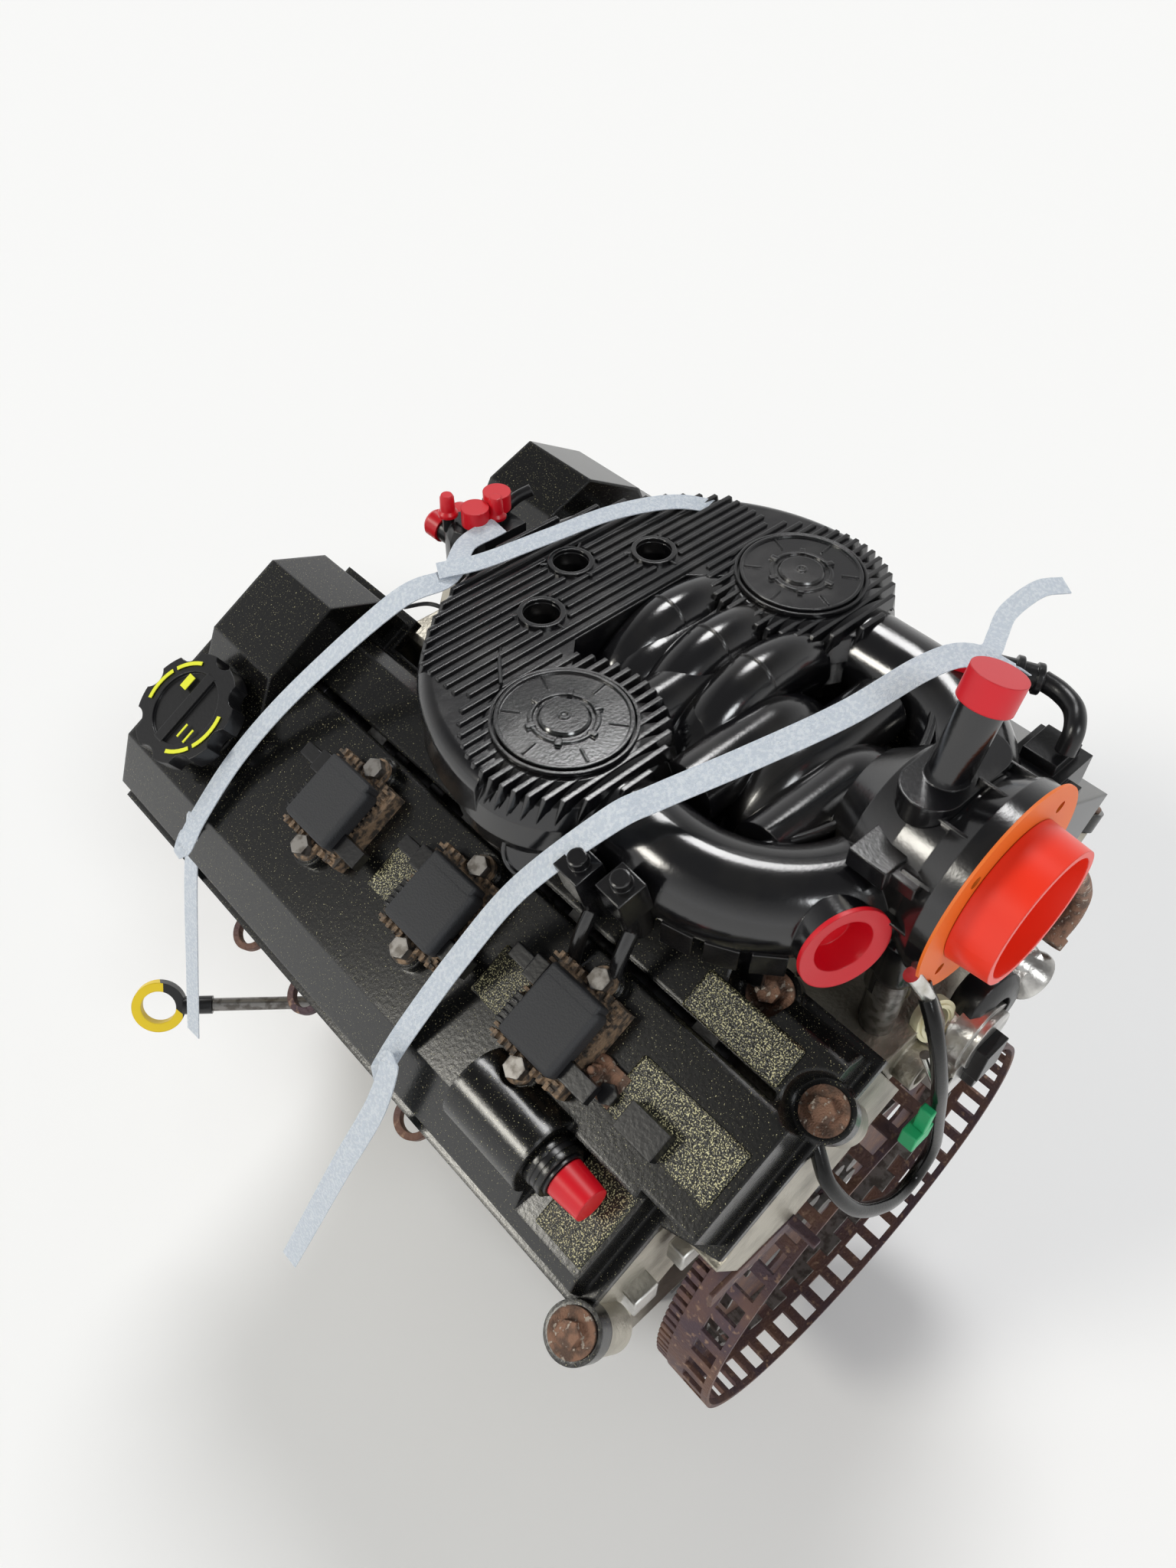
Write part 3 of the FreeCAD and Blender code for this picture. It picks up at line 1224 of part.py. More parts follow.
def crankcase_valve():
    front = "pcv_back"
    body = fuse(
        rod(13, 14, (0, 0, 0), "y"), rod(15, 4, (0, 5, 0), "y"), rod(7, 26, (0, 0, 0), "y"),
        rod(4, 32, (0, 0, 0), "y"),
    )
    node(on_bank(group(place(body, ("pcv_out", front, "cover_high-3+2"))), False), "pcv_valve")
    cap = cut(cone(11.5, 10, 20, (0, 0, 0), "y"), rod("7+run_gap", 13, (0, -1, 0), "y"),
              rod("4+run_gap", 19, (0, -1, 0), "y"))
    node(on_bank(group(place(cap, ("pcv_out", f"{front}+14.3", "cover_high-3+2"))), False), "pcv_cap")


# ---------------------------------------------------------------- intake
MANIFOLD_TOP = bank_z("-head_in-seat_gap", "head_top-4")
WEDGE = [
    (bank_x("-head_in-seat_gap", "deck+12"), bank_z("-head_in-seat_gap", "deck+12")),
    (bank_x("-head_in-seat_gap", "head_top-4"), MANIFOLD_TOP),
]
PORT = ((61.8, -45.6, 371.4), (-0.93, 0.36, 0), 82)
PANEL_BOLTS = [(45, 261), (-46, 261), (0, 286)]


def runner_rows():
    """Each runner's way across (1 starts over the left bank's port side) and its setback."""
    for i in range(6):
        yield (1 if i % 2 else -1), f"(runner_rear+{i}*runner_gap)"


def lower_manifold():
    body = slab(both_ways(WEDGE), "intake_front-intake_rear", (0, "-intake_rear", 0))
    holes = [
        rod("runner_r", 90, (f"{way}*runner_drop", f"-{back}", f"{MANIFOLD_TOP}-30"))
        for way, back in runner_rows()
    ]
    columns = [rod("ear_bolt_r", 40, (x, -y, f"{MANIFOLD_TOP}-30")) for x, y in PANEL_BOLTS]
    node(cut(body, *holes, *columns), "lower_manifold")


def swept(edges, radius):
    """A round solid of one radius along a smooth wire."""
    first = edges[0]
    start, heading = first.valueAt(first.FirstParameter), first.tangentAt(first.FirstParameter)
    ring = Part.Wire(Part.Circle(start, heading, radius).toShape())
    return feature(Part.Wire(edges).makePipeShell([ring], True, False), "swept")


def duct(way):
    x, bend, y = size("duct_x"), size("duct_bend"), size("duct_turn")
    high = size("duct_high")
    middle = Vector(way * (x - bend), -y, high)
    turn = [
        middle + Vector(way * math.cos(a), math.sin(a), 0) * bend for a in (0, math.pi / 4, math.pi / 2)
    ]
    edges = [
        Part.LineSegment(Vector(way * x, -size("lobe_y"), high), turn[0]).toShape(),
        Part.Arc(*turn).toShape(),
        Part.LineSegment(turn[2], turn[2] - Vector(way * (x - bend), 0, 0)).toShape(),
    ]
    return swept(edges, size("duct_r"))


def runner(way, back):
    """From the far dome over the middle and down to its own foot."""
    high, drop, low = size("runner_high"), size("runner_drop"), size("runner_foot")
    y = -back
    top = Vector(0, y, high)
    middle = Vector(0, y, high - drop)
    knee = middle + Vector(way * drop * math.sin(math.pi / 4), 0, drop * math.sin(math.pi / 4))
    side = Vector(way * drop, y, high - drop)
    lead = Vector(-way * (size("lobe_x") - 30), y, high)
    edges = [
        Part.LineSegment(lead, top).toShape(),
        Part.Arc(top, knee, side).toShape(),
        Part.LineSegment(side, Vector(way * drop, y, low)).toShape(),
    ]
    return swept(edges, size("runner_r"))


def panel():
    """The plate between the domes: a bowed front edge and a straight edge over the runners."""
    front, x, y = size("panel_front"), size("lobe_x"), size("lobe_y")
    corner = Vector(x + 30, -y - 90, 0)
    outer = Vector(x + size("dome_r") - 1, -y, 0)
    shoulder = Vector(x + 53, -y - 50, 0)
    flip = lambda p: Vector(-p.x, p.y, p.z)
    rear = -y - 47
    edges = [
        Part.Arc(flip(corner), Vector(0, -front, 0), corner).toShape(),
        Part.Arc(corner, shoulder, outer).toShape(),
        Part.LineSegment(outer, Vector(x, -y, 0)).toShape(),
        Part.LineSegment(Vector(x, -y, 0), Vector(45, rear, 0)).toShape(),
        Part.LineSegment(Vector(45, rear, 0), Vector(-45, rear, 0)).toShape(),
        Part.LineSegment(Vector(-45, rear, 0), Vector(-x, -y, 0)).toShape(),
        Part.LineSegment(Vector(-x, -y, 0), flip(outer)).toShape(),
        Part.Arc(flip(outer), flip(shoulder), flip(corner)).toShape(),
    ]
    plate = Part.Face(Part.Wire(edges)).extrude(Vector(0, 0, size("dome_high") - size("panel_low") - 3))
    rim = [e for e in plate.Edges if e.BoundBox.ZMin > 5 and e.Curve.TypeId == "Part::GeomCircle"]
    plate = plate.makeFillet(9, rim)
    thing = feature(plate, "panel")
    return place(thing, (0, 0, "panel_low"))


def flange_holes(y, deep):
    """The throttle flange's four bolt holes."""
    return [
        rod("ear_bolt_r", deep, (f"flange_pcd_r*sin({a})", y, f"neck_high+flange_pcd_r*cos({a})"), "y")
        for a in (45, 135, 225, 315)
    ]


def upper_intake():
    dome = turned(
        [(0, "dome_high-66"), ("dome_r-22", "dome_high-66"), ("dome_r-9", "dome_high-60"),
         ("dome_r-2", "dome_high-46"), ("dome_r", "dome_high-34"), ("dome_r-2", "dome_high-20"),
         ("dome_r-8", "dome_high-9"), ("dome_r-20", "dome_high-2"), ("dome_r-34", "dome_high"),
         (0, "dome_high")]
    )
    domes = [link(dome, (x, "-lobe_y", 0)) for x in ("lobe_x", "-lobe_x")]
    ducts = [duct(1), duct(-1)]
    runners = [runner(way, size("runner_rear") + i * size("runner_gap"))
               for i, (way, _) in enumerate(runner_rows())]
    foot = f"{MANIFOLD_TOP}+intake_gasket"
    flange = box(("-feet_half", "-intake_front+30", foot), ("2*feet_half", "intake_front-intake_rear-40", 8))
    neck = turned(
        [(0, -58), (30, -54), ("neck_r-8", -36), ("neck_r-1", -14), ("neck_r", 4),
         ("throttle_r", "neck_end-10"), ("throttle_r", "neck_end"), (0, "neck_end")],
        (0, 0, "neck_high"), "y",
    )
    columns = [rod("column_r", f"dome_high-{foot}-8", (x, -y, foot)) for x, y in PANEL_BOLTS]
    wells = [rod("column_r+2", 30, (x, -y, "dome_high-22")) for x, y in PANEL_BOLTS]
    wells += [rod("ear_bolt_r", 110, (x, -y, f"{foot}-1")) for x, y in PANEL_BOLTS]
    bush = rod("column_r+4", "leg_top-leg_low", ("leg_x", "leg_y", "leg_low"))
    web = box((0, "leg_y-5", "leg_low+12"), ("leg_x", 10, "leg_top-leg_low-4"))
    port = place(rod("port_neck_r", 44), *PORT)
    inlet = rod("inlet_r", "inlet_deep+1", (0, "neck_end-inlet_deep", "neck_high"), "y")
    bolts = flange_holes("neck_end-14", 16)
    cup = place(group(rod("port_neck_r-4", 20, (0, 0, 26))), *PORT)
    body = fuse(*domes, *ducts, *runners, panel(), flange, neck, *columns, bush, web, port)
    sleeve = rod("column_r-2", "leg_top-leg_low+2", ("leg_x", "leg_y", "leg_low-1"))
    node(cut(body, *wells, inlet, *bolts, sleeve, cup), "upper_intake")


def intake_fastenings():
    bolt = fuse(hexagon("column_r-2", 7), rod("ear_bolt_r-0.4", f"dome_high-22-{MANIFOLD_TOP}+20",
                                              (0, 0, f"-(dome_high-22-{MANIFOLD_TOP}+20)")))
    bolts = [link(bolt, (x, -y, "dome_high-22")) for x, y in PANEL_BOLTS]
    bush = tube("column_r-2", "column_r-5", "leg_top-leg_low", ("leg_x", "leg_y", "leg_low"))
    spacer = tube("column_r+1", "column_r-5", "leg_low-crossover_high", ("leg_x", "leg_y", "crossover_high"))
    node(group(*bolts, bush, spacer), "intake_fastenings")
    sheet = tube("throttle_r+3", "inlet_r", "throttle_seal", (0, "neck_end", "neck_high"), "y")
    node(cut(sheet, *flange_holes("neck_end-1", "throttle_seal+2")), "throttle_gasket")
    plug = turned(
        [(0, -14), ("inlet_r-2", -14), ("inlet_r-0.3", 0.3), ("inlet_r+3", 0.3), ("inlet_r+1", 24),
         ("inlet_r-3", 24), ("inlet_r-5", -8), (0, -8)],
        (0, "neck_end+throttle_seal", "neck_high"), "y",
    )
    node(plug, "throttle_plug")
    cup = turned(
        [(0, 28), ("port_neck_r-8", 28), ("port_neck_r-4.3", 44.3), ("port_neck_r+3", 44.3),
         ("port_neck_r+3", 47), ("port_neck_r-6", 45), ("port_neck_r-10", 31), (0, 31)]
    )
    node(place(group(cup), *PORT), "port_plug")


def vacuum_pipe():
    """A leaning pipe on an oval foot, with its cap."""
    at = (0, -14, "neck_high+neck_r-4")
    foot = common(
        box((-34, -16, "-8"), (68, 32, 14)),
        fuse(rod(16, 20, (-18, 0, -10)), rod(16, 20, (18, 0, -10)), box((-18, -16, -10), (36, 32, 20))),
    )
    carve = rod("neck_r+seat_gap", 80, (0, -40, "-neck_r+4"), "y")
    pipe = place(rod(11, 56), (8, 0, 2), (0, -1, 0), 18)
    node(place(cut(fuse(foot, pipe), carve), at), "vacuum_pipe")
    cap = cut(rod(14, 16), rod("11+run_gap", 13, (0, 0, -1)))
    tip = ("8-(56-12+seat_gap)*sin(18)", -14, "neck_high+neck_r-4+2+(56-12+seat_gap)*cos(18)")
    node(place(cap, tip, (0, -1, 0), 18), "vacuum_cap")


# ---------------------------------------------------------------- coolant, exhaust gas and dipstick
def coolant_crossover():
    shape = slab(
        both_ways([WEDGE[0], (bank_x("-head_in-seat_gap", "deck+50"), "crossover_high")]),
        "crossover_end+intake_rear-seat_gap", (0, "crossover_end", 0),
    )
    thread = rod("column_r-5", 20, ("leg_x", "leg_y", "crossover_high-18"))
    spout = rod("spout_r", 14, ("spout_x", "crossover_end-1", "spout_high"), "y")
    bore = rod("spout_r-4", 20, ("spout_x", "crossover_end-5", "spout_high"), "y")
    node(cut(fuse(shape, spout), thread, bore), "coolant_crossover")


def exhaust_gas_valve():
    body = fuse(
        rod(20, 26, (-14, "crossover_end", 258), "y"),
        rod(23, 12, (-14, "crossover_end+10", 258), "y"),
        box((-12, "crossover_end+8", 214), (20, 16, 34)),
    )
    plate = cut(
        fuse(rod(15, 7, (-44, "crossover_end+12", 262), "y"), rod(15, 7, (-62, "crossover_end+12", 262), "y"),
             box((-62, "crossover_end+12", 247), (18, 7, 30)), box((-38, "crossover_end+13", 252), (6, 5, 16))),
        rod(5, 12, (-62, "crossover_end+10", 262), "y"),
        rod("23+seat_gap", 14, (-14, "crossover_end+9", 258), "y"),
    )
    node(group(body, plate), "egr_valve")


def coolant_outlet():
    base = slab(
        both_ways([WEDGE[0], (bank_x("-head_in-seat_gap", "deck+60"), bank_z("-head_in-seat_gap", "deck+60"))]),
        44, (0, "-intake_front-seat_gap", 0),
    )
    stem = box((-14, "-outlet_y+12", 270), (28, 18, "outlet_top-270-14"))
    head = box((-17, "-outlet_y-12", "outlet_top-62"), (34, 30, 62))
    pipes = [
        rod(6, 16, (-8, "-outlet_y", "outlet_top-1")), rod(6, 12, (10, "-outlet_y", "outlet_top-1")),
        rod(11, 16, (3, "-outlet_y-27", "outlet_top-18"), "y"),
        rod(11, 16, (6, "-outlet_y-27", "outlet_top-46"), "y"),
    ]
    node(fuse(base, stem, head, *pipes), "coolant_outlet")
    caps = [
        cut(rod(9, 12, (x, "-outlet_y", f"outlet_top+{t}-10+seat_gap")),
            rod("6+run_gap", 10, (x, "-outlet_y", f"outlet_top+{t}-10+seat_gap-1")))
        for x, t in ((-8, 16), (10, 12))
    ]
    caps += [
        cut(rod(15, 18, (x, "-outlet_y-27-6", z), "y"),
            rod("11+run_gap", 14, (x, "-outlet_y-27-0.3", z), "y"))
        for x, z in ((3, "outlet_top-18"), )
    ]
    node(group(*caps), "outlet_caps")


LEAN = ((0.595, 0.8, 0), 84.5)
STICK = ("skirt_half+3", -300, 26)


def dipstick():
    spot = rod("stick_r+2", "stick_long")
    bore = rod("stick_r+0.06", "stick_long+60", (0, 0, -40))
    shaft = place(group(cut(spot, bore)), STICK, *LEAN)
    boss = box(("skirt_half", "-316", 10), (12, 30, 32))
    drill = place(group(rod("stick_r+2", "stick_long", (0, 0, -4))), STICK, *LEAN)
    node(group(shaft, cut(boss, drill)), "dipstick_tube")
    blade = fuse(
        rod("stick_r", "stick_long+4"),
        rod("stick_r+4", 22, (0, 0, "stick_long+seat_gap")),
        cut(rod(20, 8, (0, -4, "stick_long+40"), "y"), rod(13, 10, (0, -5, "stick_long+40"), "y")),
    )
    node(place(group(blade), STICK, *LEAN), "dipstick")


def exhaust_brackets():
    loops = []
    for y in (-347, -280, -163):
        ring = tube(14, 9.5, 5, ("head_out+14.3", y, 266))
        foot = box(("head_out", f"{y}-12", 266), (4, 24, 20))
        loops.append(fuse(ring, foot))
    node(on_bank(group(*loops), False), "exhaust_brackets")


def suppressor():
    plate = box((2, -58, "cover_high"), (14, 34, 2))
    can = box((1, -36, "cover_high+2"), (16, 26, 10))
    bolt = hexagon(6, 5, (9, -50, "cover_high+2"))
    node(on_bank(group(fuse(plate, can, bolt)), False), "suppressor")


# ---------------------------------------------------------------- build and export
def build():
    engine_block()
    bedplate()
    main_bearings()
    oil_pan()
    crankshaft()
    ring_gear()
    flexplate()
    damper_pulley()
    crank_train()
    for right in BANKS:
        cylinder_head(right)
    valve_gear()
    for right in BANKS:
        for exhaust in (False, True):
            camshaft(right, exhaust)
    cam_caps()
    timing_drive()
    timing_cover()
    for right in BANKS:
        valve_cover(right)
    gaskets()
    cover_bolts()
    ignition()
    oil_cap()
    crankcase_valve()
    lower_manifold()
    upper_intake()
    intake_fastenings()
    vacuum_pipe()
    coolant_crossover()
    exhaust_gas_valve()
    coolant_outlet()
    dipstick()
    exhaust_brackets()
    suppressor()


def export():
    doc.recompute()
    for thing in doc.Objects:
        if "Invalid" in thing.State or "Error" in thing.State:
            raise RuntimeError(f"{thing.Label} failed: {thing.State}")
    os.makedirs("parts", exist_ok=True)
    for thing in NODES:
        if thing.Shape.isNull() or not thing.Shape.isValid():
            raise RuntimeError(f"{thing.Label} is not a valid shape")
    for thing in NODES:
        thing.Shape.exportStep(f"parts/{thing.Label}.step")
        print(thing.Label, len(thing.Shape.Solids), round(thing.Shape.Volume))


build()
export()
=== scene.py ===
import math
import random

import bmesh
import bpy
from mathutils import Matrix, Vector


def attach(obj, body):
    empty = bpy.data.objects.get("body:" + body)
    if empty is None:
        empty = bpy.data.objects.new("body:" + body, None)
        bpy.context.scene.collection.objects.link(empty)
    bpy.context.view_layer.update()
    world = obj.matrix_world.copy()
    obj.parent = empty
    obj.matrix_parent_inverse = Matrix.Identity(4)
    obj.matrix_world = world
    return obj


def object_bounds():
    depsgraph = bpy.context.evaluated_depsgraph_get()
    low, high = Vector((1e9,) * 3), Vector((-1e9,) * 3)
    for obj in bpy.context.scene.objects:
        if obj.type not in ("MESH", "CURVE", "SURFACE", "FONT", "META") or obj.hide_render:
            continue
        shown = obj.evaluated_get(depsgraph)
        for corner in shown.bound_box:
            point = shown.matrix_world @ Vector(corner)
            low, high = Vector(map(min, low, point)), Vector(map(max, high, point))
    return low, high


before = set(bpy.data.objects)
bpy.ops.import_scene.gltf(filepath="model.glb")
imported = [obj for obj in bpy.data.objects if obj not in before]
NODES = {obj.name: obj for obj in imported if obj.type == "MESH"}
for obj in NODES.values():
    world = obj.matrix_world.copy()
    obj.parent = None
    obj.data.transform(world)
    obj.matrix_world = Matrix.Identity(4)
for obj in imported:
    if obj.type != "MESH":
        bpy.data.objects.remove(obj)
CAD_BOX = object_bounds()
random.seed(7)

MM = 0.001
BANK_TILT = math.radians(30)
C30, S30 = math.cos(BANK_TILT), math.sin(BANK_TILT)
UP = (0, 0, 1)

# ------------------------------------------------------------------ materials
LAYER_DETAIL = 4.0
GRAIN_DETAIL = 3.0
GRAIN_DEPTH = 0.002
EDGE_SAMPLES = 4


def colour_layer(tree, place, under, base, extra, size, limits):
    """Lays noise patches of one more colour over the one below; gives the new colour and the mask."""
    noise = tree.nodes.new("ShaderNodeTexNoise")
    noise.inputs["Scale"].default_value = size
    noise.inputs["Detail"].default_value = LAYER_DETAIL
    tree.links.new(place, noise.inputs["Vector"])
    mask = tree.nodes.new("ShaderNodeMapRange")
    mask.inputs["From Min"].default_value = limits[0]
    mask.inputs["From Max"].default_value = limits[1]
    tree.links.new(noise.outputs["Fac"], mask.inputs["Value"])
    mix = tree.nodes.new("ShaderNodeMix")
    mix.data_type = "RGBA"
    mix.inputs["A"].default_value = (*base, 1)
    mix.inputs["B"].default_value = (*extra, 1)
    if under is not None:
        tree.links.new(under, mix.inputs["A"])
    tree.links.new(mask.outputs["Result"], mix.inputs["Factor"])
    return mix.outputs["Result"], mask.outputs["Result"]


def uneven_roughness(tree, out, mask, rough, rough2):
    """Lets the roughness go from one value to another where the patches lie."""
    spread = tree.nodes.new("ShaderNodeMapRange")
    spread.inputs["To Min"].default_value = rough
    spread.inputs["To Max"].default_value = rough2
    tree.links.new(mask, spread.inputs["Value"])
    tree.links.new(spread.outputs["Result"], out.inputs["Roughness"])


def edge_normal(tree, out, radius):
    """Softens sharp edges by the radius, in metres."""
    soft = tree.nodes.new("ShaderNodeBevel")
    soft.samples = EDGE_SAMPLES
    soft.inputs["Radius"].default_value = radius
    tree.links.new(soft.outputs["Normal"], out.inputs["Normal"])
    return soft.outputs["Normal"]


def grain_normal(tree, out, place, normal, strength, scale):
    """Adds a fine grain to the surface."""
    grain = tree.nodes.new("ShaderNodeTexNoise")
    grain.inputs["Scale"].default_value = scale
    grain.inputs["Detail"].default_value = GRAIN_DETAIL
    tree.links.new(place, grain.inputs["Vector"])
    push = tree.nodes.new("ShaderNodeBump")
    push.inputs["Strength"].default_value = strength
    push.inputs["Distance"].default_value = GRAIN_DEPTH
    tree.links.new(grain.outputs["Fac"], push.inputs["Height"])
    if normal is not None:
        tree.links.new(normal, push.inputs["Normal"])
    tree.links.new(push.outputs["Normal"], out.inputs["Normal"])


def shader(name, base, rough=0.5, metal=0.0, bevel=0.0, second=None, scale=60.0, edges=(0.45, 0.6),
           bump=0.0, bump_scale=400.0, third=None, third_scale=300.0, third_edges=(0.6, 0.64), rough2=None,
           specular=0.5):
    """A node material: a base colour, broad patches of a second, fine specks of a third and a soft bump."""
    mat = bpy.data.materials.new(name)
    mat.use_nodes = True
    tree = mat.node_tree
    out = tree.nodes["Principled BSDF"]
    out.inputs["Roughness"].default_value = rough
    out.inputs["Metallic"].default_value = metal
    out.inputs["Specular IOR Level"].default_value = specular
    out.inputs["Base Color"].default_value = (*base, 1)
    place = tree.nodes.new("ShaderNodeTexCoord").outputs["Object"]
    colour = None
    for extra, size, limits in ((second, scale, edges), (third, third_scale, third_edges)):
        if extra is None:
            continue
        colour, mask = colour_layer(tree, place, colour, base, extra, size, limits)
        if rough2 is not None:
            uneven_roughness(tree, out, mask, rough, rough2)
    if colour is not None:
        tree.links.new(colour, out.inputs["Base Color"])
    normal = edge_normal(tree, out, bevel) if bevel else None
    if bump:
        grain_normal(tree, out, place, normal, bump, bump_scale)
    return mat


PLASTIC = shader("intake_plastic", (0.005, 0.005, 0.006), 0.15, bevel=0.0012, bump=0.025, bump_scale=500,
                 second=(0.012, 0.011, 0.010), scale=30, edges=(0.45, 0.75), rough2=0.24, specular=0.85)
SATIN = shader("satin_plastic", (0.008, 0.008, 0.009), 0.28, bevel=0.001, bump=0.05)
MATT = shader("matt_plastic", (0.022, 0.023, 0.026), 0.6, bevel=0.0012, bump=0.2, bump_scale=900)
PAINT = shader("cover_paint", (0.004, 0.004, 0.004), 0.20, bevel=0.003, bump=0.035, bump_scale=420,
               third=(0.46, 0.43, 0.25), third_scale=1250, third_edges=(0.66, 0.70), specular=0.6)
SPECKLE = shader("speckled_paint", (0.006, 0.006, 0.005), 0.30, bevel=0.002, bump=0.25, bump_scale=900,
                 third=(0.60, 0.56, 0.32), third_scale=1250, third_edges=(0.55, 0.60), specular=0.5)
CAST = shader("cast_aluminium", (0.50, 0.47, 0.40), 0.42, metal=0.85, bevel=0.002, bump=0.35, bump_scale=350,
              second=(0.24, 0.22, 0.18), scale=30, edges=(0.45, 0.75))
BRIGHT = shader("bright_aluminium", (0.70, 0.69, 0.66), 0.30, metal=0.95, bevel=0.001, bump=0.12,
                second=(0.45, 0.44, 0.42), scale=50)
STEEL = shader("zinc_steel", (0.24, 0.23, 0.22), 0.38, metal=0.85, bevel=0.0008, second=(0.12, 0.11, 0.10),
               scale=160)
DARK_STEEL = shader("dark_steel", (0.16, 0.16, 0.17), 0.40, metal=0.85, bevel=0.001,
                    second=(0.08, 0.07, 0.07), scale=120)
RUST = shader("rusty_plate", (0.155, 0.082, 0.060), 0.55, metal=0.45, bevel=0.001, bump=0.35, bump_scale=500,
              second=(0.080, 0.050, 0.062), scale=28, edges=(0.40, 0.62), third=(0.30, 0.19, 0.13),
              third_scale=220, third_edges=(0.58, 0.72))
BOLT_RUST = shader("rusty_bolt", (0.26, 0.145, 0.095), 0.60, metal=0.45, bevel=0.0008, bump=0.4,
                   bump_scale=900, second=(0.12, 0.075, 0.055), scale=150, third=(0.42, 0.36, 0.30),
                   third_scale=300)
LAMINATED = shader("coil_core", (0.30, 0.205, 0.13), 0.62, metal=0.2, bump=0.4, bump_scale=900,
                   second=(0.060, 0.050, 0.042), scale=260, edges=(0.40, 0.60))
RED = shader("red_cap", (0.62, 0.004, 0.014), 0.34, bevel=0.001)
ORANGE = shader("orange_plug", (0.86, 0.035, 0.010), 0.34, bevel=0.001)
SEAL = shader("orange_seal", (0.80, 0.16, 0.012), 0.5)
YELLOW = shader("yellow_ring", (0.83, 0.60, 0.01), 0.42, bevel=0.0015)
MARK = shader("yellow_mark", (0.80, 0.83, 0.03), 0.5)
RUBBER = shader("gloss_rubber", (0.005, 0.005, 0.005), 0.2, specular=0.3, bump=0.05)
CHROME = shader("pipe_steel", (0.72, 0.71, 0.68), 0.22, metal=1.0, second=(0.45, 0.43, 0.38), scale=60)
GREEN = shader("green_clip", (0.02, 0.42, 0.16), 0.45)
CREAM = shader("cream_ring", (0.80, 0.76, 0.52), 0.45)
WEB = shader("strap_weave", (0.60, 0.66, 0.74), 0.75, bump=0.6, bump_scale=1500, second=(0.72, 0.77, 0.83),
             scale=500)
OIL_PAN = shader("pan_paint", (0.02, 0.02, 0.02), 0.4, bevel=0.003)

LOOKS = {
    CAST: ("engine_block", "bedplate", "cylinder_head_left", "cylinder_head_right", "timing_cover",
           "coolant_crossover", "water_pump_housing", "lower_manifold"),
    BRIGHT: ("pistons", "cam_caps", "tappets", "egr_valve"),
    DARK_STEEL: ("crankshaft", "connecting_rods", "piston_pins", "valves", "valve_springs", "timing_chains",
                 "crank_sprocket", "water_pump_rotor", "main_bearings", "damper_pulley",
                 "camshaft_intake_left", "camshaft_intake_right", "camshaft_exhaust_left",
                 "camshaft_exhaust_right"),
    RUST: ("flexplate", "ring_gear", "exhaust_brackets"),
    STEEL: ("tone_ring", "crank_bolts", "cover_bolts", "intake_fastenings", "drain_plug", "spark_plugs",
            "dipstick_tube"),
    PAINT: ("valve_cover_left", "valve_cover_right"),
    PLASTIC: ("upper_intake", "vacuum_pipe"),
    SATIN: ("oil_cap", "pcv_valve", "ignition_coils", "dipstick", "suppressor", "coolant_outlet"),
    MATT: ("coil_caps",),
    LAMINATED: ("coil_cores",),
    RED: ("pcv_cap", "outlet_caps", "vacuum_cap", "port_plug"),
    ORANGE: ("throttle_plug",),
    SEAL: ("throttle_gasket",),
    RUBBER: ("crank_seals", "oil_cap_seal", "gaskets"),
    OIL_PAN: ("oil_pan",),
}
for look, names in LOOKS.items():
    for name in names:
        if name in NODES:
            NODES[name].data.materials.clear()
            NODES[name].data.materials.append(look)


# ------------------------------------------------------------------ frames, in millimetres
def engine(p):
    """The engine's own frame."""
    return Vector(p)


def left(p):
    """From the left bank's own frame (out, along, up the cylinders)."""
    return Vector((p[0] * C30 + p[2] * S30, p[1], p[2] * C30 - p[0] * S30))


def right(p):
    """The same for the right bank, as its mirror image."""
    q = left(p)
    return Vector((-q.x, q.y, q.z))


def at(origin, axis_z=UP, bank=engine, spin=0.0):
    """A local frame whose Z points along axis_z, placed in the engine's or a bank's frame."""
    turn = Vector(axis_z).to_track_quat("Z", "Y").to_matrix() @ Matrix.Rotation(math.radians(spin), 3, "Z")
    base = Vector(origin)
    return lambda p: bank(base + turn @ Vector(p))


# ------------------------------------------------------------------ shapes
STEPS = 8
STRAP_STEPS = 10
SHARP = math.radians(35)
BEVEL_FROM = math.radians(40)


def smooth(points, steps):
    """A Catmull-Rom line through the points."""
    pts = [Vector(p) for p in points]
    line = []
    for i in range(len(pts) - 1):
        b, c = pts[i], pts[i + 1]
        a = pts[i - 1] if i else b * 2 - c
        d = pts[i + 2] if i + 2 < len(pts) else c * 2 - b
        for s in range(steps):
            t = s / steps
            line.append(0.5 * ((2 * b) + (c - a) * t + (2 * a - 5 * b + 4 * c - d) * t * t
                               + (3 * b - a - 3 * c + d) * t * t * t))
    line.append(pts[-1])
    return line


def heading(line, i):
    """The way the line runs at its point i."""
    return (line[min(i + 1, len(line) - 1)] - line[max(i - 1, 0)]).normalized()


def closed_skin(rows, count):
    """The faces of a closed skin over rows of count points each."""
    faces = []
    for i in range(rows - 1):
        for k in range(count):
            after = (k + 1) % count
            faces.append((i * count + k, i * count + after, (i + 1) * count + after, (i + 1) * count + k))
    faces.append(tuple(reversed(range(count))))
    faces.append(tuple(range((rows - 1) * count, rows * count)))
    return faces


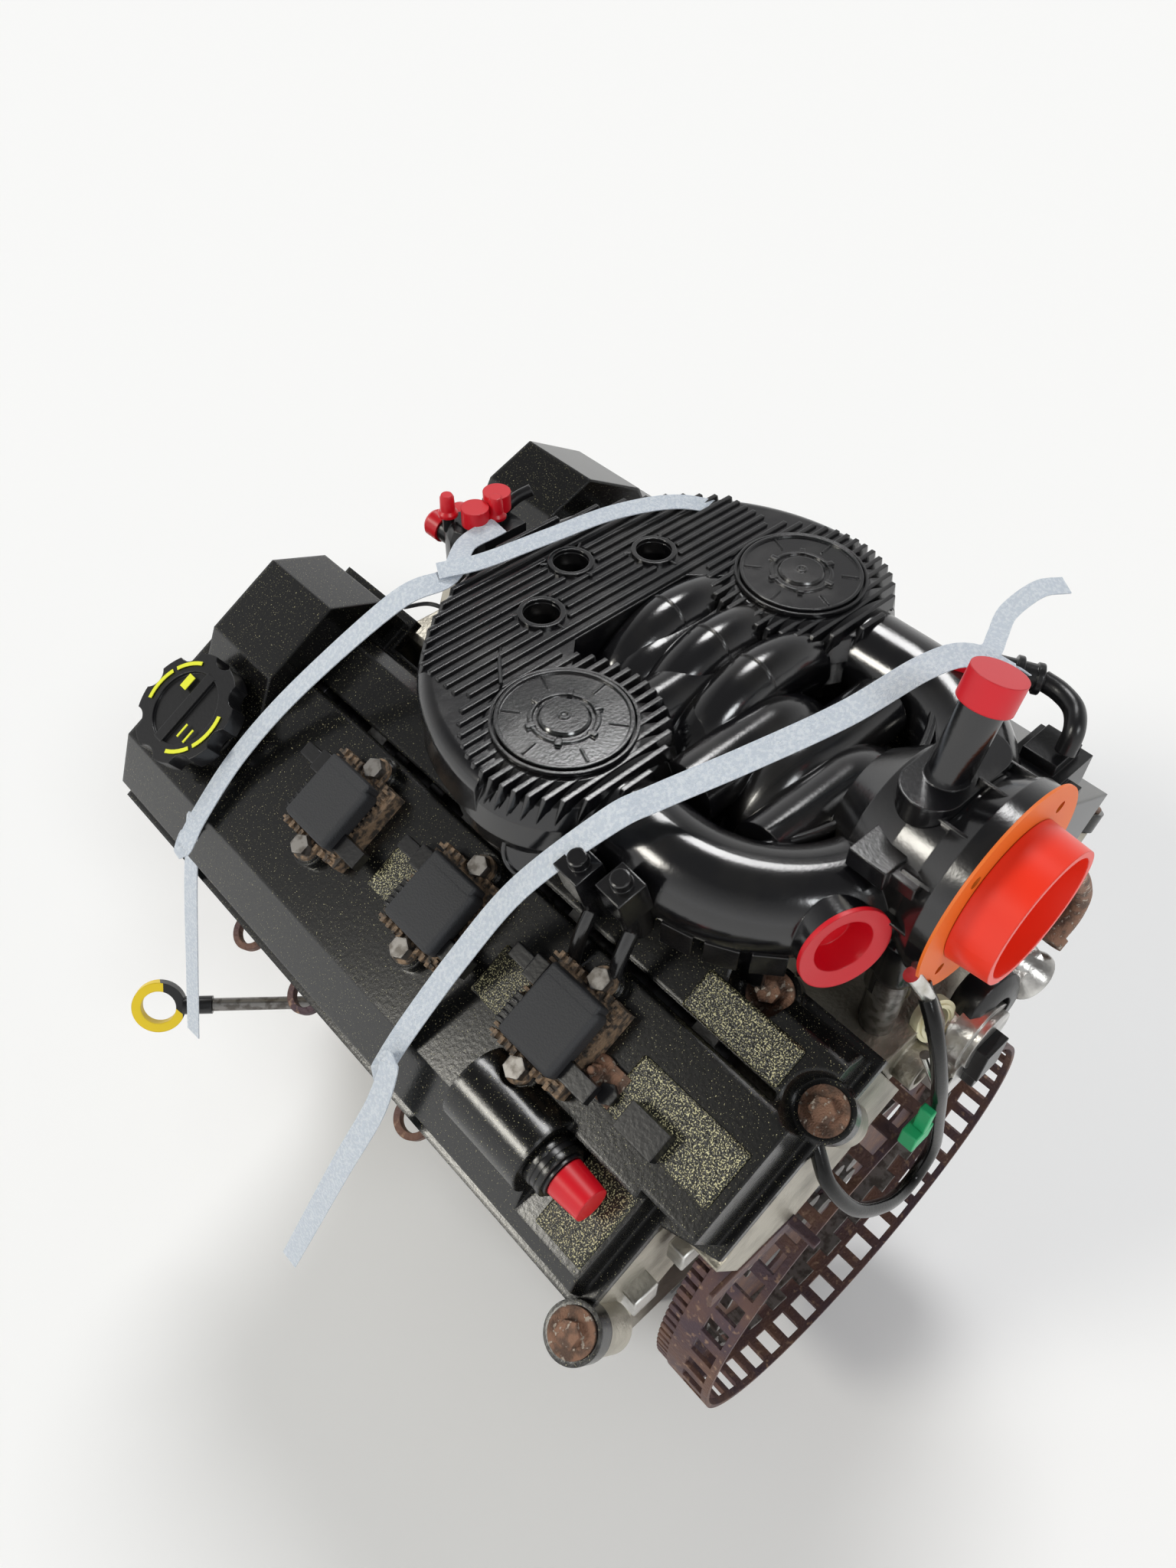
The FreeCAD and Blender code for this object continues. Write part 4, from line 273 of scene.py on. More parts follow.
class Kit:
    """Collects simple closed shapes into one piece."""

    def __init__(self):
        self.verts, self.faces = [], []

    def add(self, verts, faces, where=engine):
        """Adds any shape, with its points taken through a frame."""
        first = len(self.verts)
        self.verts += [where(v) for v in verts]
        self.faces += [[first + i for i in face] for face in faces]
        return self

    def box(self, low, high, where=engine):
        """A box between two corners."""
        x0, y0, z0 = low
        x1, y1, z1 = high
        verts = [(x, y, z) for z in (z0, z1) for x, y in ((x0, y0), (x1, y0), (x1, y1), (x0, y1))]
        return self.add(verts, closed_skin(2, 4), where)

    def lathe(self, profile, where=engine, count=48):
        """Turns (radius, height) corners round Z; ends at radius 0 close it."""
        verts, rows = [], []
        for radius, high in profile:
            if radius < 1e-6:
                rows.append([len(verts)])
                verts.append((0, 0, high))
                continue
            rows.append(list(range(len(verts), len(verts) + count)))
            for i in range(count):
                angle = 2 * math.pi * i / count
                verts.append((radius * math.cos(angle), radius * math.sin(angle), high))
        faces = []
        for low, top in zip(rows, rows[1:]):
            for i in range(count):
                j = (i + 1) % count
                if len(low) == 1:
                    faces.append((low[0], top[i], top[j]))
                elif len(top) == 1:
                    faces.append((low[i], low[j], top[0]))
                else:
                    faces.append((low[i], low[j], top[j], top[i]))
        return self.add(verts, faces, where)

    def disc(self, radius, low, high, where=engine, count=48, edge=0.6):
        """A round disc with its upper edge taken off."""
        return self.lathe([(0, low), (radius, low), (radius, high - edge), (radius - edge, high), (0, high)],
                          where, count)

    def ring(self, outer, inner, low, high, where=engine, count=64):
        """A ring of square section."""
        corners = [(inner, low), (outer, low), (outer, high), (inner, high), (inner, low)]
        return self.lathe(corners, where, count)

    def tube(self, points, radius, count=14):
        """A round tube along a smooth line through the points."""
        line = smooth(points, STEPS)
        side = heading(line, 0).orthogonal().normalized()
        verts = []
        for i, p in enumerate(line):
            ahead = heading(line, i)
            side = (side - ahead * side.dot(ahead)).normalized()
            other = ahead.cross(side)
            for k in range(count):
                angle = 2 * math.pi * k / count
                verts.append(p + (side * math.cos(angle) + other * math.sin(angle)) * radius)
        return self.add(verts, closed_skin(len(line), count))

    def make(self, name, look, body="engine", bevel=0.0, flat=False):
        """Turns the collected shapes into a piece that rides on a body."""
        data = bpy.data.meshes.new(name)
        data.from_pydata([v * MM for v in self.verts], [], self.faces)
        shape = bmesh.new()
        shape.from_mesh(data)
        bmesh.ops.recalc_face_normals(shape, faces=shape.faces)
        shape.to_mesh(data)
        shape.free()
        data.materials.append(look)
        piece = bpy.data.objects.new(name, data)
        bpy.context.scene.collection.objects.link(piece)
        if bevel:
            rounding = piece.modifiers.new("edge", "BEVEL")
            rounding.width = bevel * MM
            rounding.segments = 2
            rounding.limit_method = "ANGLE"
            rounding.angle_limit = BEVEL_FROM
        if not flat:
            data.shade_smooth()
            data.set_sharp_from_angle(angle=SHARP)
        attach(piece, body)
        return piece


# ------------------------------------------------------------------ intake: ribs
LOBE_X, LOBE_Y, DOME_R, TOP = 95.0, -185.0, 62.0, 406.0
DISC_R = 37.0
BOLTS = ((45, -261), (-46, -261), (0, -286))
BOLT_WELL_R = 15.5
HOLES = [(sign * LOBE_X, LOBE_Y, DISC_R + 1.5) for sign in (1, -1)] + [(x, y, BOLT_WELL_R) for x, y in BOLTS]
PANEL_FRONT, PANEL_HALF, PANEL_BOW = -332.0, 125.0, 57.0
PANEL_END = LOBE_Y - 47
PANEL_MARGIN = 4
REACH, CREST = DOME_R - 6, TOP - 1.3
FIRST_RIB, PITCH = -326.0, 7.0
RIB_COUNT = math.ceil((LOBE_Y + REACH - FIRST_RIB) / PITCH)
SHORTEST_RIB = 5
RIB_END = 0.5
RIB = (2.0, CREST - 9, CREST)
TOOTH_REACH = 4.5
TOOTH = (0.25, CREST - 15, CREST - 12)
RIB_TAPER = 0.7


def dome_edge(y):
    """How far out a rib at this y runs over a dome, or None beside the dome."""
    gap = abs(y - LOBE_Y)
    return LOBE_X + math.sqrt(REACH * REACH - gap * gap) if gap < REACH else None


def front_edge(x):
    """The bowed front edge of the panel."""
    if abs(x) > PANEL_HALF:
        return PANEL_FRONT + PANEL_BOW
    radius = (PANEL_HALF * PANEL_HALF + PANEL_BOW * PANEL_BOW) / (2 * PANEL_BOW)
    return PANEL_FRONT + radius - math.sqrt(radius * radius - x * x)


def panel_edge(y):
    """How far out a rib at this y runs over the panel."""
    return max((x for x in range(int(PANEL_HALF) + 1) if front_edge(x) < y - PANEL_MARGIN), default=0)


def cut_spans(spans, middle, half):
    """The stretches that are left when a hole is taken out of them."""
    kept = []
    for start, end, out_start, out_end in spans:
        if end <= middle - half or start >= middle + half:
            kept.append((start, end, out_start, out_end))
            continue
        kept.append((start, middle - half, out_start, False))
        kept.append((middle + half, end, False, out_end))
    return kept


def rib_spans(y):
    """The stretches of x that carry a rib at this y; True marks an end that runs out over the edge."""
    outer = dome_edge(y)
    spans = []
    if y < PANEL_END:
        reach = outer or panel_edge(y)
        spans = [(-reach, reach, True, True)]
    elif outer:
        inner = 2 * LOBE_X - outer
        spans = [(inner, outer, True, True), (-outer, -inner, True, True)]
    for hole_x, hole_y, radius in HOLES:
        off = abs(y - hole_y)
        if off < radius:
            spans = cut_spans(spans, hole_x, math.sqrt(radius * radius - off * off))
    return [span for span in spans if span[1] - span[0] > SHORTEST_RIB]


def add_rib(ribs, y, start, end, out_start, out_end):
    """One rib with sloping flanks; an end that runs out over the edge falls off in a thin tooth."""
    ends = [(start + RIB_END, *RIB), (end - RIB_END, *RIB)]
    if out_start:
        ends.insert(0, (start - TOOTH_REACH, *TOOTH))
    if out_end:
        ends.append((end + TOOTH_REACH, *TOOTH))
    verts = []
    for x, half, low, high in ends:
        narrow = half * RIB_TAPER
        verts += [(x, y - half, low), (x, y + half, low), (x, y + narrow, high), (x, y - narrow, high)]
    ribs.add(verts, closed_skin(len(ends), 4))


def intake_ribs():
    """The fine ribs that run across the panel and both domes."""
    ribs = Kit()
    for k in range(RIB_COUNT):
        y = FIRST_RIB + PITCH * k
        for span in rib_spans(y):
            add_rib(ribs, y, *span)
    ribs.make("intake_ribs", PLASTIC, flat=True)


# ------------------------------------------------------------------ intake: discs, runners and fittings
def dome_discs():
    """The round disc with rings and spokes on each dome, and the collars of the bolt wells."""
    discs = Kit()
    for sign in (1, -1):
        spot = (sign * LOBE_X, LOBE_Y, TOP)
        here = at(spot)
        discs.disc(DISC_R - 1, -6, 1.4, here, 96, 0.8)
        discs.ring(DISC_R, DISC_R - 1.8, 0.5, 2.8, here, 96)
        discs.ring(DISC_R + 3, DISC_R + 1.4, -1, 1.6, here, 96)
        discs.ring(19, 17, 1.0, 2.6, here)
        discs.disc(14, 1.0, 3.6, here, 48, 1.2)
        discs.ring(3.2, 2.0, 3.4, 4.4, here, 24)
        for k in range(12):
            spoke = at(spot, spin=30 * k + 9)
            if k % 2:
                discs.box((16.5, -1.6, 1.0), (21.5, 1.6, 3.4), spoke)
            else:
                discs.box((24, -0.5, 1.0), (34, 0.5, 2.4), spoke)
    for x, y in BOLTS:
        spot = (x, y, TOP - 4)
        discs.ring(14.0, 11.2, -8, 3.4, at(spot), 48)
        for k in range(3):
            discs.box((14.5, -0.6, 0), (19, 0.6, 3.2), at(spot, spin=120 * k + 30))
    discs.make("dome_discs", PLASTIC)


def crossing_runners():
    """The three runners that cross the pit from the far side, each with a moulded seam."""
    humps = Kit()
    for y in (-219, -184, -150):
        humps.tube([(-78, y - 2, 372), (-50, y, 386), (-14, y, 388), (16, y + 1, 376), (34, y + 1, 352)],
                   18.5, 32)
        humps.tube([(-16, y - 20, 384), (-16, y - 12, 402), (-16, y, 407.2), (-16, y + 12, 402),
                    (-16, y + 20, 384)], 0.9, 8)
    humps.make("crossing_runners", PLASTIC)


def add_studs(fittings):
    """The embossed cup on the near dome's side and the two clamped studs below it."""
    cup = at((143, -156, 364), (0.80, 0.35, 0.48))
    fittings.disc(15, 0, 6, cup, 48, 1.2)
    fittings.ring(14.5, 12.2, 6, 7.4, cup)
    for x, y, z in ((131, -118, 345), (127, -92, 350)):
        stud = at((x, y, z), (0.28, -0.02, 0.96))
        foot = (x + 22, y + 6, z - 34)
        fittings.disc(8.5, 0, 26, stud, 24, 1.0)
        fittings.box((-9, -10, 22), (9, 8, 46), stud)
        fittings.disc(5.5, 46, 52, stud, 20)
        fittings.disc(9.5, -10, 2, at(foot, (0.3, 0.1, 0.95)), 28)
        fittings.tube([(x + 4, y + 2, z + 6), (x + 16, y + 4, z - 12), (x + 24, y + 6, z - 34)], 4.2)


def add_webs(fittings):
    """Thin webs beside the domes, rims along the pit and the ribs behind the throttle flange."""
    for k, x in enumerate((66, 78, 90)):
        fittings.box((x, -96 + 3 * k, 318), (x + 3, -40 + 3 * k, 372))
    rim = ((112, -128, 384), (104, -96, 389), (84, -74, 391), (52, -56, 391), (16, -46, 390))
    for sign in (1, -1):
        fittings.tube([(sign * x, y, z) for x, y, z in rim], 3.0)
        for k in range(6):
            angle = 16 + 13 * k
            x = 20 + 105 * math.cos(math.radians(angle))
            y = -100 + 105 * math.sin(math.radians(angle))
            fittings.box((-1, -9, -12), (1, 9, 4), at((sign * x, y, 358), spin=angle * sign))
    for k in range(9):
        fittings.box((47, -1, -14), (57, 1, 3), at((0, 12, 386), (0, 1, 0), spin=-60 + 30 * k))


def intake_fittings():
    """Studs, webs and the small connector beside the throttle flange."""
    fittings = Kit()
    add_studs(fittings)
    add_webs(fittings)
    fittings.box((34, -26, 404), (58, -4, 416))
    fittings.box((40, -4, 406), (54, 10, 414))
    fittings.make("intake_fittings", PLASTIC, bevel=0.5)


# ------------------------------------------------------------------ valve covers
COVER = 346
FILLER = (21.5, -421)
COIL_ROW = (-93, -191, -289)
RIGHT_SHIFT = 24


def coil_places():
    """Each coil's bank and its place along the engine."""
    for bank, shift in ((left, 0), (right, RIGHT_SHIFT)):
        for y in COIL_ROW:
            yield bank, y - shift


def cover_pads():
    """The flat speckled pads on the near cover."""
    pads = Kit()
    pads.box((-18, -50, COVER), (16, 22, 352.5), left)
    pads.box((-72, -56, 336), (-48, 8, 342.6), left)
    pads.box((30, -44, 328), (84, -10, 334.6), left)
    for y in (-232, -136):
        pads.box((-10, y - 14, COVER), (22, y + 14, 351), left)
    pads.make("cover_pads", SPECKLE, bevel=1.5)


def cover_trims():
    """Rims round the coil screws, the filler and the crankcase valve."""
    trims = Kit()
    for bank, y in coil_places():
        for u, shift in ((31, 0), (-31, 4)):
            trims.ring(10.5, 8.8, COVER, 357.4, at((u, y + shift, 0), UP, bank), 32)
    trims.ring(29, 25.5, COVER, 357.5, at((*FILLER, 0), UP, left))
    vent = at((54, -56, 349), (0, 1, 0), left)
    trims.ring(15.5, 12.0, 0, 5, vent)
    trims.ring(15.5, 12.0, 8, 12, vent)
    trims.make("cover_trims", PAINT, bevel=0.5)


def suppressor_tab():
    """The rusty lug and stud that hold the suppressor."""
    tab = Kit()
    stud = at((5, -62, 0), UP, left)
    tab.disc(10, 351, 353.4, stud, 32)
    tab.box((-4, -60, 351), (15, -46, 353.2), left)
    tab.disc(4.6, 353, 357.5, stud, 6, 0.4)
    tab.disc(2.2, 357, 364, stud, 16, 0.4)
    tab.make("suppressor_tab", BOLT_RUST)


# ------------------------------------------------------------------ coils
COIL_SEAT = 358


def coil_shells():
    """The matt block over each coil."""
    shells = Kit()
    for bank, y in coil_places():
        here = at((0, y, COIL_SEAT), UP, bank)
        shells.box((-21, -19.5, 6.5), (23, 17, 19.4), here)
        shells.box((-21, 17, 6.5), (23, 20, 12), here)
    shells.make("coil_shells", MATT, bevel=1.6)


def coil_connectors():
    """The socket on each coil and the comb beside it."""
    pins = Kit()
    for bank, y in coil_places():
        here = at((0, y, COIL_SEAT), UP, bank)
        pins.box((6, 20, 2), (20, 30, 12), here)
        pins.box((8, 30, 3.5), (17, 44, 10.5), here)
        pins.box((-20, 19.8, 3.3), (-2, 26, 9.5), here)
        for k in range(5):
            pins.box((-19 + 4 * k, 19.6, 9.5), (-17.6 + 4 * k, 25.5, 11.5), here)
    pins.make("coil_connectors", SATIN, bevel=0.5)


def coil_laminations():
    """The uneven ends of the iron sheets round each coil."""
    cores = Kit()
    for bank, y in coil_places():
        here = at((0, y, COIL_SEAT), UP, bank)
        for k in range(14):
            u = -27.5 + 4 * k
            cores.box((u, -22.6, -2), (u + 1.9, -19.4, 4.2 + (k % 3) * 0.6), here)
            cores.box((u, 22.6, -2), (u + 1.9, 26.8, 4.0 + (k % 4) * 0.5), here)
        for k in range(9):
            v = -19 + 5 * k
            cores.box((-28.8, v, -2), (-24.5, v + 2.4, 4.4 + (k % 3) * 0.5), here)
            cores.box((24.5, v, -2), (28.8, v + 2.4, 4.2 + (k % 3) * 0.5), here)
    cores.make("coil_laminations", LAMINATED, flat=True)


# ------------------------------------------------------------------ oil cap marks
CAP = at((*FILLER, 363.5), UP, left)
MARK_LOW, MARK_HIGH = 13.9, 14.4
MARK_R, MARK_WIDE = 30.5, 2.6
MARK_ARCS = ((25, 62), (68, 112), (205, 238), (244, 292))
MARK_BARS = (((8, 9), (18, 15)), ((-16, -13), (-6, -11.6)), ((-16, -20), (-6, -18.6)))


def add_arc_mark(marks, start, end):
    """A raised arc on the cap, from one angle to another in degrees."""
    steps = max(3, int((end - start) / 6))
    inner, outer = MARK_R - MARK_WIDE / 2, MARK_R + MARK_WIDE / 2
    verts = []
    for i in range(steps + 1):
        angle = math.radians(start + (end - start) * i / steps)
        for reach, high in ((inner, MARK_LOW), (outer, MARK_LOW), (outer, MARK_HIGH), (inner, MARK_HIGH)):
            verts.append((reach * math.cos(angle), reach * math.sin(angle), high))
    marks.add(verts, closed_skin(steps + 1, 4), CAP)


def cap_marks():
    """Plain yellow arcs and bars on the filler cap, which they turn with."""
    marks = Kit()
    for start, end in MARK_ARCS:
        add_arc_mark(marks, start, end)
    for low, high in MARK_BARS:
        marks.box((*low, MARK_LOW), (*high, MARK_HIGH), CAP)
    marks.make("cap_marks", MARK, body="filler_cap", flat=True)


# ------------------------------------------------------------------ nodes with two finishes
COIL_BOLTS_ABOVE = 338
DIPSTICK_RING_FROM = 285


def second_slot(node, look, wanted):
    """Gives the faces whose middle (in mm) is wanted another material."""
    data = NODES[node].data
    data.materials.append(look)
    for face in data.polygons:
        if wanted(face.center / MM):
            face.material_index = 1


def on_cover_rim(c):
    """Whether a point belongs to a cover bolt and not to a coil's bolt higher up."""
    return abs(c.x) * S30 + c.z * C30 <= COIL_BOLTS_ABOVE


def two_finishes():
    """Rusty bolts round the covers and a yellow ring on the dipstick."""
    second_slot("cover_bolts", BOLT_RUST, on_cover_rim)
    second_slot("dipstick", YELLOW, lambda c: c.x > DIPSTICK_RING_FROM)


# ------------------------------------------------------------------ flywheel end
BUSH = (33, 6, 0)
CREAM_SPOT = ((8, 26, 274), (0.25, 1, 0.35))


def chrome_pipe():
    """Two bright pipes that run down from the intake."""
    pipe = Kit()
    pipe.tube([(58, 24, 366), (50, 30, 350), (36, 32, 324), (18, 32, 288), (2, 30, 250)], 4.4)
    pipe.tube([(4, 46, 236), (22, 50, 246), (34, 48, 268), (40, 40, 290)], 3.0)
    pipe.make("chrome_pipe", CHROME)


def cream_ring():
    """A pale seal round the bright pipe."""
    seal = Kit()
    here = at(*CREAM_SPOT)
    seal.ring(14, 8.5, -3, 3, here)
    seal.ring(11.5, 9.5, 3, 4.4, here)
    seal.make("cream_ring", CREAM)


def rusty_pipe():
    """The bent exhaust gas pipe with its open end."""
    rusty = Kit()
    rusty.tube([(-58, 30, 368), (-82, 37, 338), (-100, 40, 308), (-99, 41, 289), (-82, 41, 279)], 6.2)
    rusty.ring(8.2, 5.8, -4, 3, at((-84, 41, 280), (0.8, 0, -0.5)))
    rusty.make("rusty_pipe", BOLT_RUST)


def aluminium_elbow():
    """A cast elbow with a flared mouth."""
    elbow = Kit()
    mouth = at((-64, 42, 266), (-0.35, 0.75, -0.55))
    elbow.lathe([(8, -22), (10, -14), (13, -6), (16, 2), (16, 5), (12, 5), (9, -4), (7.5, -18), (8, -22)],
                mouth, 32)
    elbow.tube([(-40, 22, 262), (-50, 30, 266), (-60, 36, 270), (-72, 41, 274)], 9.5)
    elbow.make("aluminium_elbow", BRIGHT)


def rear_connectors():
    """A solenoid with its socket, a hose union and an electrical box."""
    parts = Kit()
    parts.lathe([(0, -4), (20, -4), (22, 0), (22, 12), (18, 15), (9, 16), (8, 12), (0, 12)],
                at((-26, 32, 272), (0.1, 1, 0.1)))
    parts.box((-22, 40, 236), (-2, 60, 262))
    parts.box((-18, 44, 222), (-6, 58, 238))
    parts.tube([(-112, -70, 402), (-122, -54, 401), (-131, -38, 400)], 8.0)
    parts.tube([(-131, -38, 400), (-131, -26, 399), (-126, -14, 398), (-116, -6, 394), (-110, -4, 382)], 6.0)
    for spot, reach in (((-115, -65, 402), 9.4), ((-124, -50, 401), 10.2), ((-130, -40, 400), 9.2)):
        parts.disc(reach, -2, 2, at(spot, (-0.5, 0.85, -0.05)), 28)
    parts.box((-134, -30, 348), (-96, 4, 370))
    parts.box((-128, -24, 370), (-102, -2, 378))
    parts.box((-112, 2, 352), (-100, 12, 366))
    parts.make("rear_connectors", SATIN, bevel=0.8)


def rear_plugs():
    """The red plugs in the hose union and behind the plenum."""
    plug = Kit()
    plug.disc(9, 0, 10, at((-110, -72, 402), (0.5, -0.85, 0.05)), 28)
    plug.disc(3.4, -1, 4, at((-38, -6, 418)), 20)
    plug.make("rear_plugs", RED)


def green_clip():
    """The clip that holds the vent hose."""
    clip = Kit()
    clip.box((40, 50, 228), (56, 60, 242))
    clip.box((45, 52, 242), (50, 60, 262))
    clip.make("green_clip", GREEN, bevel=0.8)


def vent_hose():
    """The glossy hose that hangs in a bow from the near cover to the intake."""
    hose = Kit()
    hose.tube([(108, 22, 276), (114, 34, 268), (116, 46, 254), (101, 58, 222), (74, 63, 192), (50, 63, 172),
               (32, 62, 172), (25, 61, 196), (34, 58, 240), (45, 54, 287), (51, 44, 328), (45, 26, 348)], 4.4)
    hose.disc(6.4, 0, 12, at((108, 20, 278), (0.3, 0.8, -0.4)), 24)
    hose.make("vent_hose", RUBBER)


def bush_boss():
    """The round boss beside the throttle, on its bracket."""
    boss = Kit()
    boss.lathe([(0, 322), (11, 322), (13.5, 330), (13.5, 356), (12, 358), (0, 358)], at(BUSH), 32)
    boss.box((20, -22, 330), (46, 4, 356))
    boss.make("bush_boss", PLASTIC, bevel=0.6)


def bush_sleeve():
    """The steel sleeve in the boss and the post under it."""
    sleeve = Kit()
    sleeve.ring(7.4, 4.6, 340, 360.5, at(BUSH), 32)
    sleeve.lathe([(0, 268), (9.2, 268), (9.8, 270), (9.8, 319), (9.2, 321), (0, 321)], at(BUSH), 32)
    sleeve.make("bush_sleeve", STEEL)


def lifting_lug():
    """Cast lugs on the near head's end."""
    lug = Kit()
    lug.box((150, 2, 196), (186, 14, 214))
    lug.box((150, 4, 176), (160, 24, 214))
    lug.box((196, -6, 168), (214, 8, 186))
    lug.make("lifting_lug", BRIGHT, bevel=1.0)


def strip_bracket():
    """A folded strip over the ring gear."""
    strip = Kit()
    strip.box((112, 30, 170), (180, 33, 186))
    strip.box((112, 30, 182), (118, 52, 186))
    strip.make("strip_bracket", RUST, bevel=0.6)


# ------------------------------------------------------------------ coolant outlet and tie
POSTS = ((19, -383), (-3, -361))
NOZZLE = at((12, -386, 374), (0.1, -1, 0.1))


def outlet_block():
    """The outlet's body with two posts, a nozzle and a side pipe."""
    outlet = Kit()
    outlet.lathe([(0, 348), (17, 348), (19, 352), (19, 384), (15, 391), (0, 391)], at((8, -372, 0)), 8)
    outlet.box((-12, -380, 360), (-2, -364, 388))
    for x, y in POSTS:
        outlet.disc(4.0, 384, 400, at((x, y, 0)), 20)
    outlet.disc(8, 0, 16, NOZZLE, 24)
    outlet.tube([(-8, -366, 392), (-22, -364, 400), (-32, -360, 404)], 4.0)
    outlet.make("outlet_block", SATIN, bevel=1.2)


def outlet_plugs():
    """Red plugs on the posts and the nozzle."""
    plugs = Kit()
    for x, y in POSTS:
        plugs.lathe([(0, 396), (6.6, 396), (6.6, 398), (5.0, 400), (4.6, 409), (3.6, 411), (0, 411)],
                    at((x, y, 0)), 24)
    plugs.lathe([(0, 10), (9.5, 10), (9.5, 20), (8, 22), (0, 22)], NOZZLE, 24)
    plugs.make("outlet_plugs", RED)


def cable_tie():
    """Thin ties that lie over the edge of the plenum."""
    ties = Kit()
    ties.tube([(92, -332, 390), (84, -316, 398), (78, -300, 396), (74, -282, 388), (88, -258, 392),
               (92, -241, 394)], 1.3, 8)
    ties.tube([(92, -332, 390), (66, -348, 384), (48, -342, 388), (46, -318, 394), (60, -300, 396),
               (76, -286, 394)], 1.3, 8)
    ties.tube([(66, -271, 400), (88, -247, 404), (104, -226, 409)], 1.1, 8)
    ties.make("cable_tie", SATIN)


# ------------------------------------------------------------------ straps
WAY = Vector((0.3, 0.2, 0.93))
OUT = Vector((0.96, 0.1, 0.25))
UPB = Vector((S30, 0, C30))
EDGE = Vector((0.9, 0, 0.45))
STRAP_THICK = 0.8
STRAP_WIDE, BRANCH_WIDE = 14, 11


def strap(name, points, width):
    """A flat band; each point gives a place and the way the band's face looks there."""
    line = smooth([p for p, _ in points], STRAP_STEPS)
    ways = smooth([n for _, n in points], STRAP_STEPS)
    verts = []
    for i, (p, n) in enumerate(zip(line, ways)):
        ahead = heading(line, i)
        n = (n - ahead * n.dot(ahead)).normalized()
        side = ahead.cross(n)
        for across, high in ((-1, 0), (1, 0), (1, 1), (-1, 1)):
            verts.append(p + side * across * width / 2 + n * high * STRAP_THICK)
    piece = Kit().add(verts, closed_skin(len(line), 4)).make(name, WEB)


def straps():
    """The two woven bands over the engine, each with a loose branch."""
    strap("strap_front", [
        ((286, -389, 48), OUT), ((270, -387, 120), OUT), ((252, -385, 200), OUT), ((238, -381, 262), EDGE),
        (left((88, -366, 353)), UPB), (left((66, -371, 356)), UPB), (left((20, -374, 362)), UPB),
        (left((-37, -362, 374)), UPB), ((98, -330, 399), WAY), ((66, -322, 405), WAY),
        ((30, -350, 396), WAY), ((2, -352, 396), WAY),
    ], STRAP_WIDE)
    strap("strap_front_branch", [
        ((70, -326, 409), WAY), ((46, -313, 412), WAY), ((0, -306, 412), WAY), ((-49, -299, 411), WAY),
        ((-89, -283, 409), WAY), ((-122, -266, 396), WAY),
    ], BRANCH_WIDE)
    strap("strap_rear", [
        ((322, -214, 6), OUT), ((304, -188, 96), OUT), ((285, -164, 182), OUT), ((262, -152, 240), OUT),
        ((248, -152, 272), EDGE), (left((88, -160, 347)), UPB), (left((62, -159, 357)), UPB),
        (left((10, -154, 374)), UPB), (left((-40, -143, 394)), UPB), ((128, -116, 410), WAY),
        ((104, -108, 416), WAY), ((60, -90, 427), WAY), ((10, -72, 439), WAY), ((-34, -60, 452), WAY),
        ((-58, -50, 452), WAY), ((-80, -34, 436), WAY),
    ], STRAP_WIDE)
    strap("strap_rear_tail", [
        ((-66, -48, 450), WAY), ((-84, -52, 440), WAY), ((-104, -60, 434), WAY), ((-122, -66, 436), WAY),
        ((-146, -64, 440), WAY), ((-166, -58, 436), WAY),
    ], BRANCH_WIDE)


def strap_frays():
    """Loose threads at the cut end of the rear strap."""
    frays = Kit()
    for k in range(9):
        turn = math.radians(-40 + 10 * k + random.uniform(-4, 4))
        reach = random.uniform(9, 17)
        root = Vector((-78 - 0.5 * k, -36 - k * 0.9, 437))
        way = Vector((-math.cos(turn), 0.8 + 0.4 * math.sin(turn), -0.5 * math.cos(turn))).normalized()
        tip = root + way * reach
        frays.tube([root, (root + tip) / 2 + Vector((0, 0, 2.0)), tip], 0.35, 5)
    frays.make("strap_frays", WEB)


# ------------------------------------------------------------------ stage, light and camera
FLOOR_GAP = 0.0003
FLOOR_REACH = 8
HORIZON, ZENITH = 1.0, 0.14
FADE_FROM, FADE_TO = 0.05, 0.8
LAMPS = (
    ("key", (-0.42, -0.36, 0.83), 1.25, 20, (1, 1, 1)),
    ("side_light", (0.74, -0.36, 0.57), 0.95, 14, (1.0, 0.97, 0.88)),
    ("rear_fill", (0.12, 0.69, 0.71), 0.78, 16, (0.95, 0.98, 1.0)),
)
EYE = Vector((0.3933, 0.1466, 0.8435))
AZIMUTH, ELEVATION, ROLL = (math.radians(angle) for angle in (136.3, 47.5, 1.75))
SENSOR, LENS = 36.0, 27.2373


def floor():
    """A pale floor just under the oil pan."""
    z = CAD_BOX[0][2] - FLOOR_GAP
    corners = [(x * FLOOR_REACH, y * FLOOR_REACH, z) for x, y in ((-1, -1), (1, -1), (1, 1), (-1, 1))]
    data = bpy.data.meshes.new("floor")
    data.from_pydata(corners, [], [(0, 1, 2, 3)])
    data.materials.append(shader("floor", (0.94, 0.94, 0.94), 0.9, specular=0.1))
    thing = bpy.data.objects.new("floor", data)
    bpy.context.scene.collection.objects.link(thing)


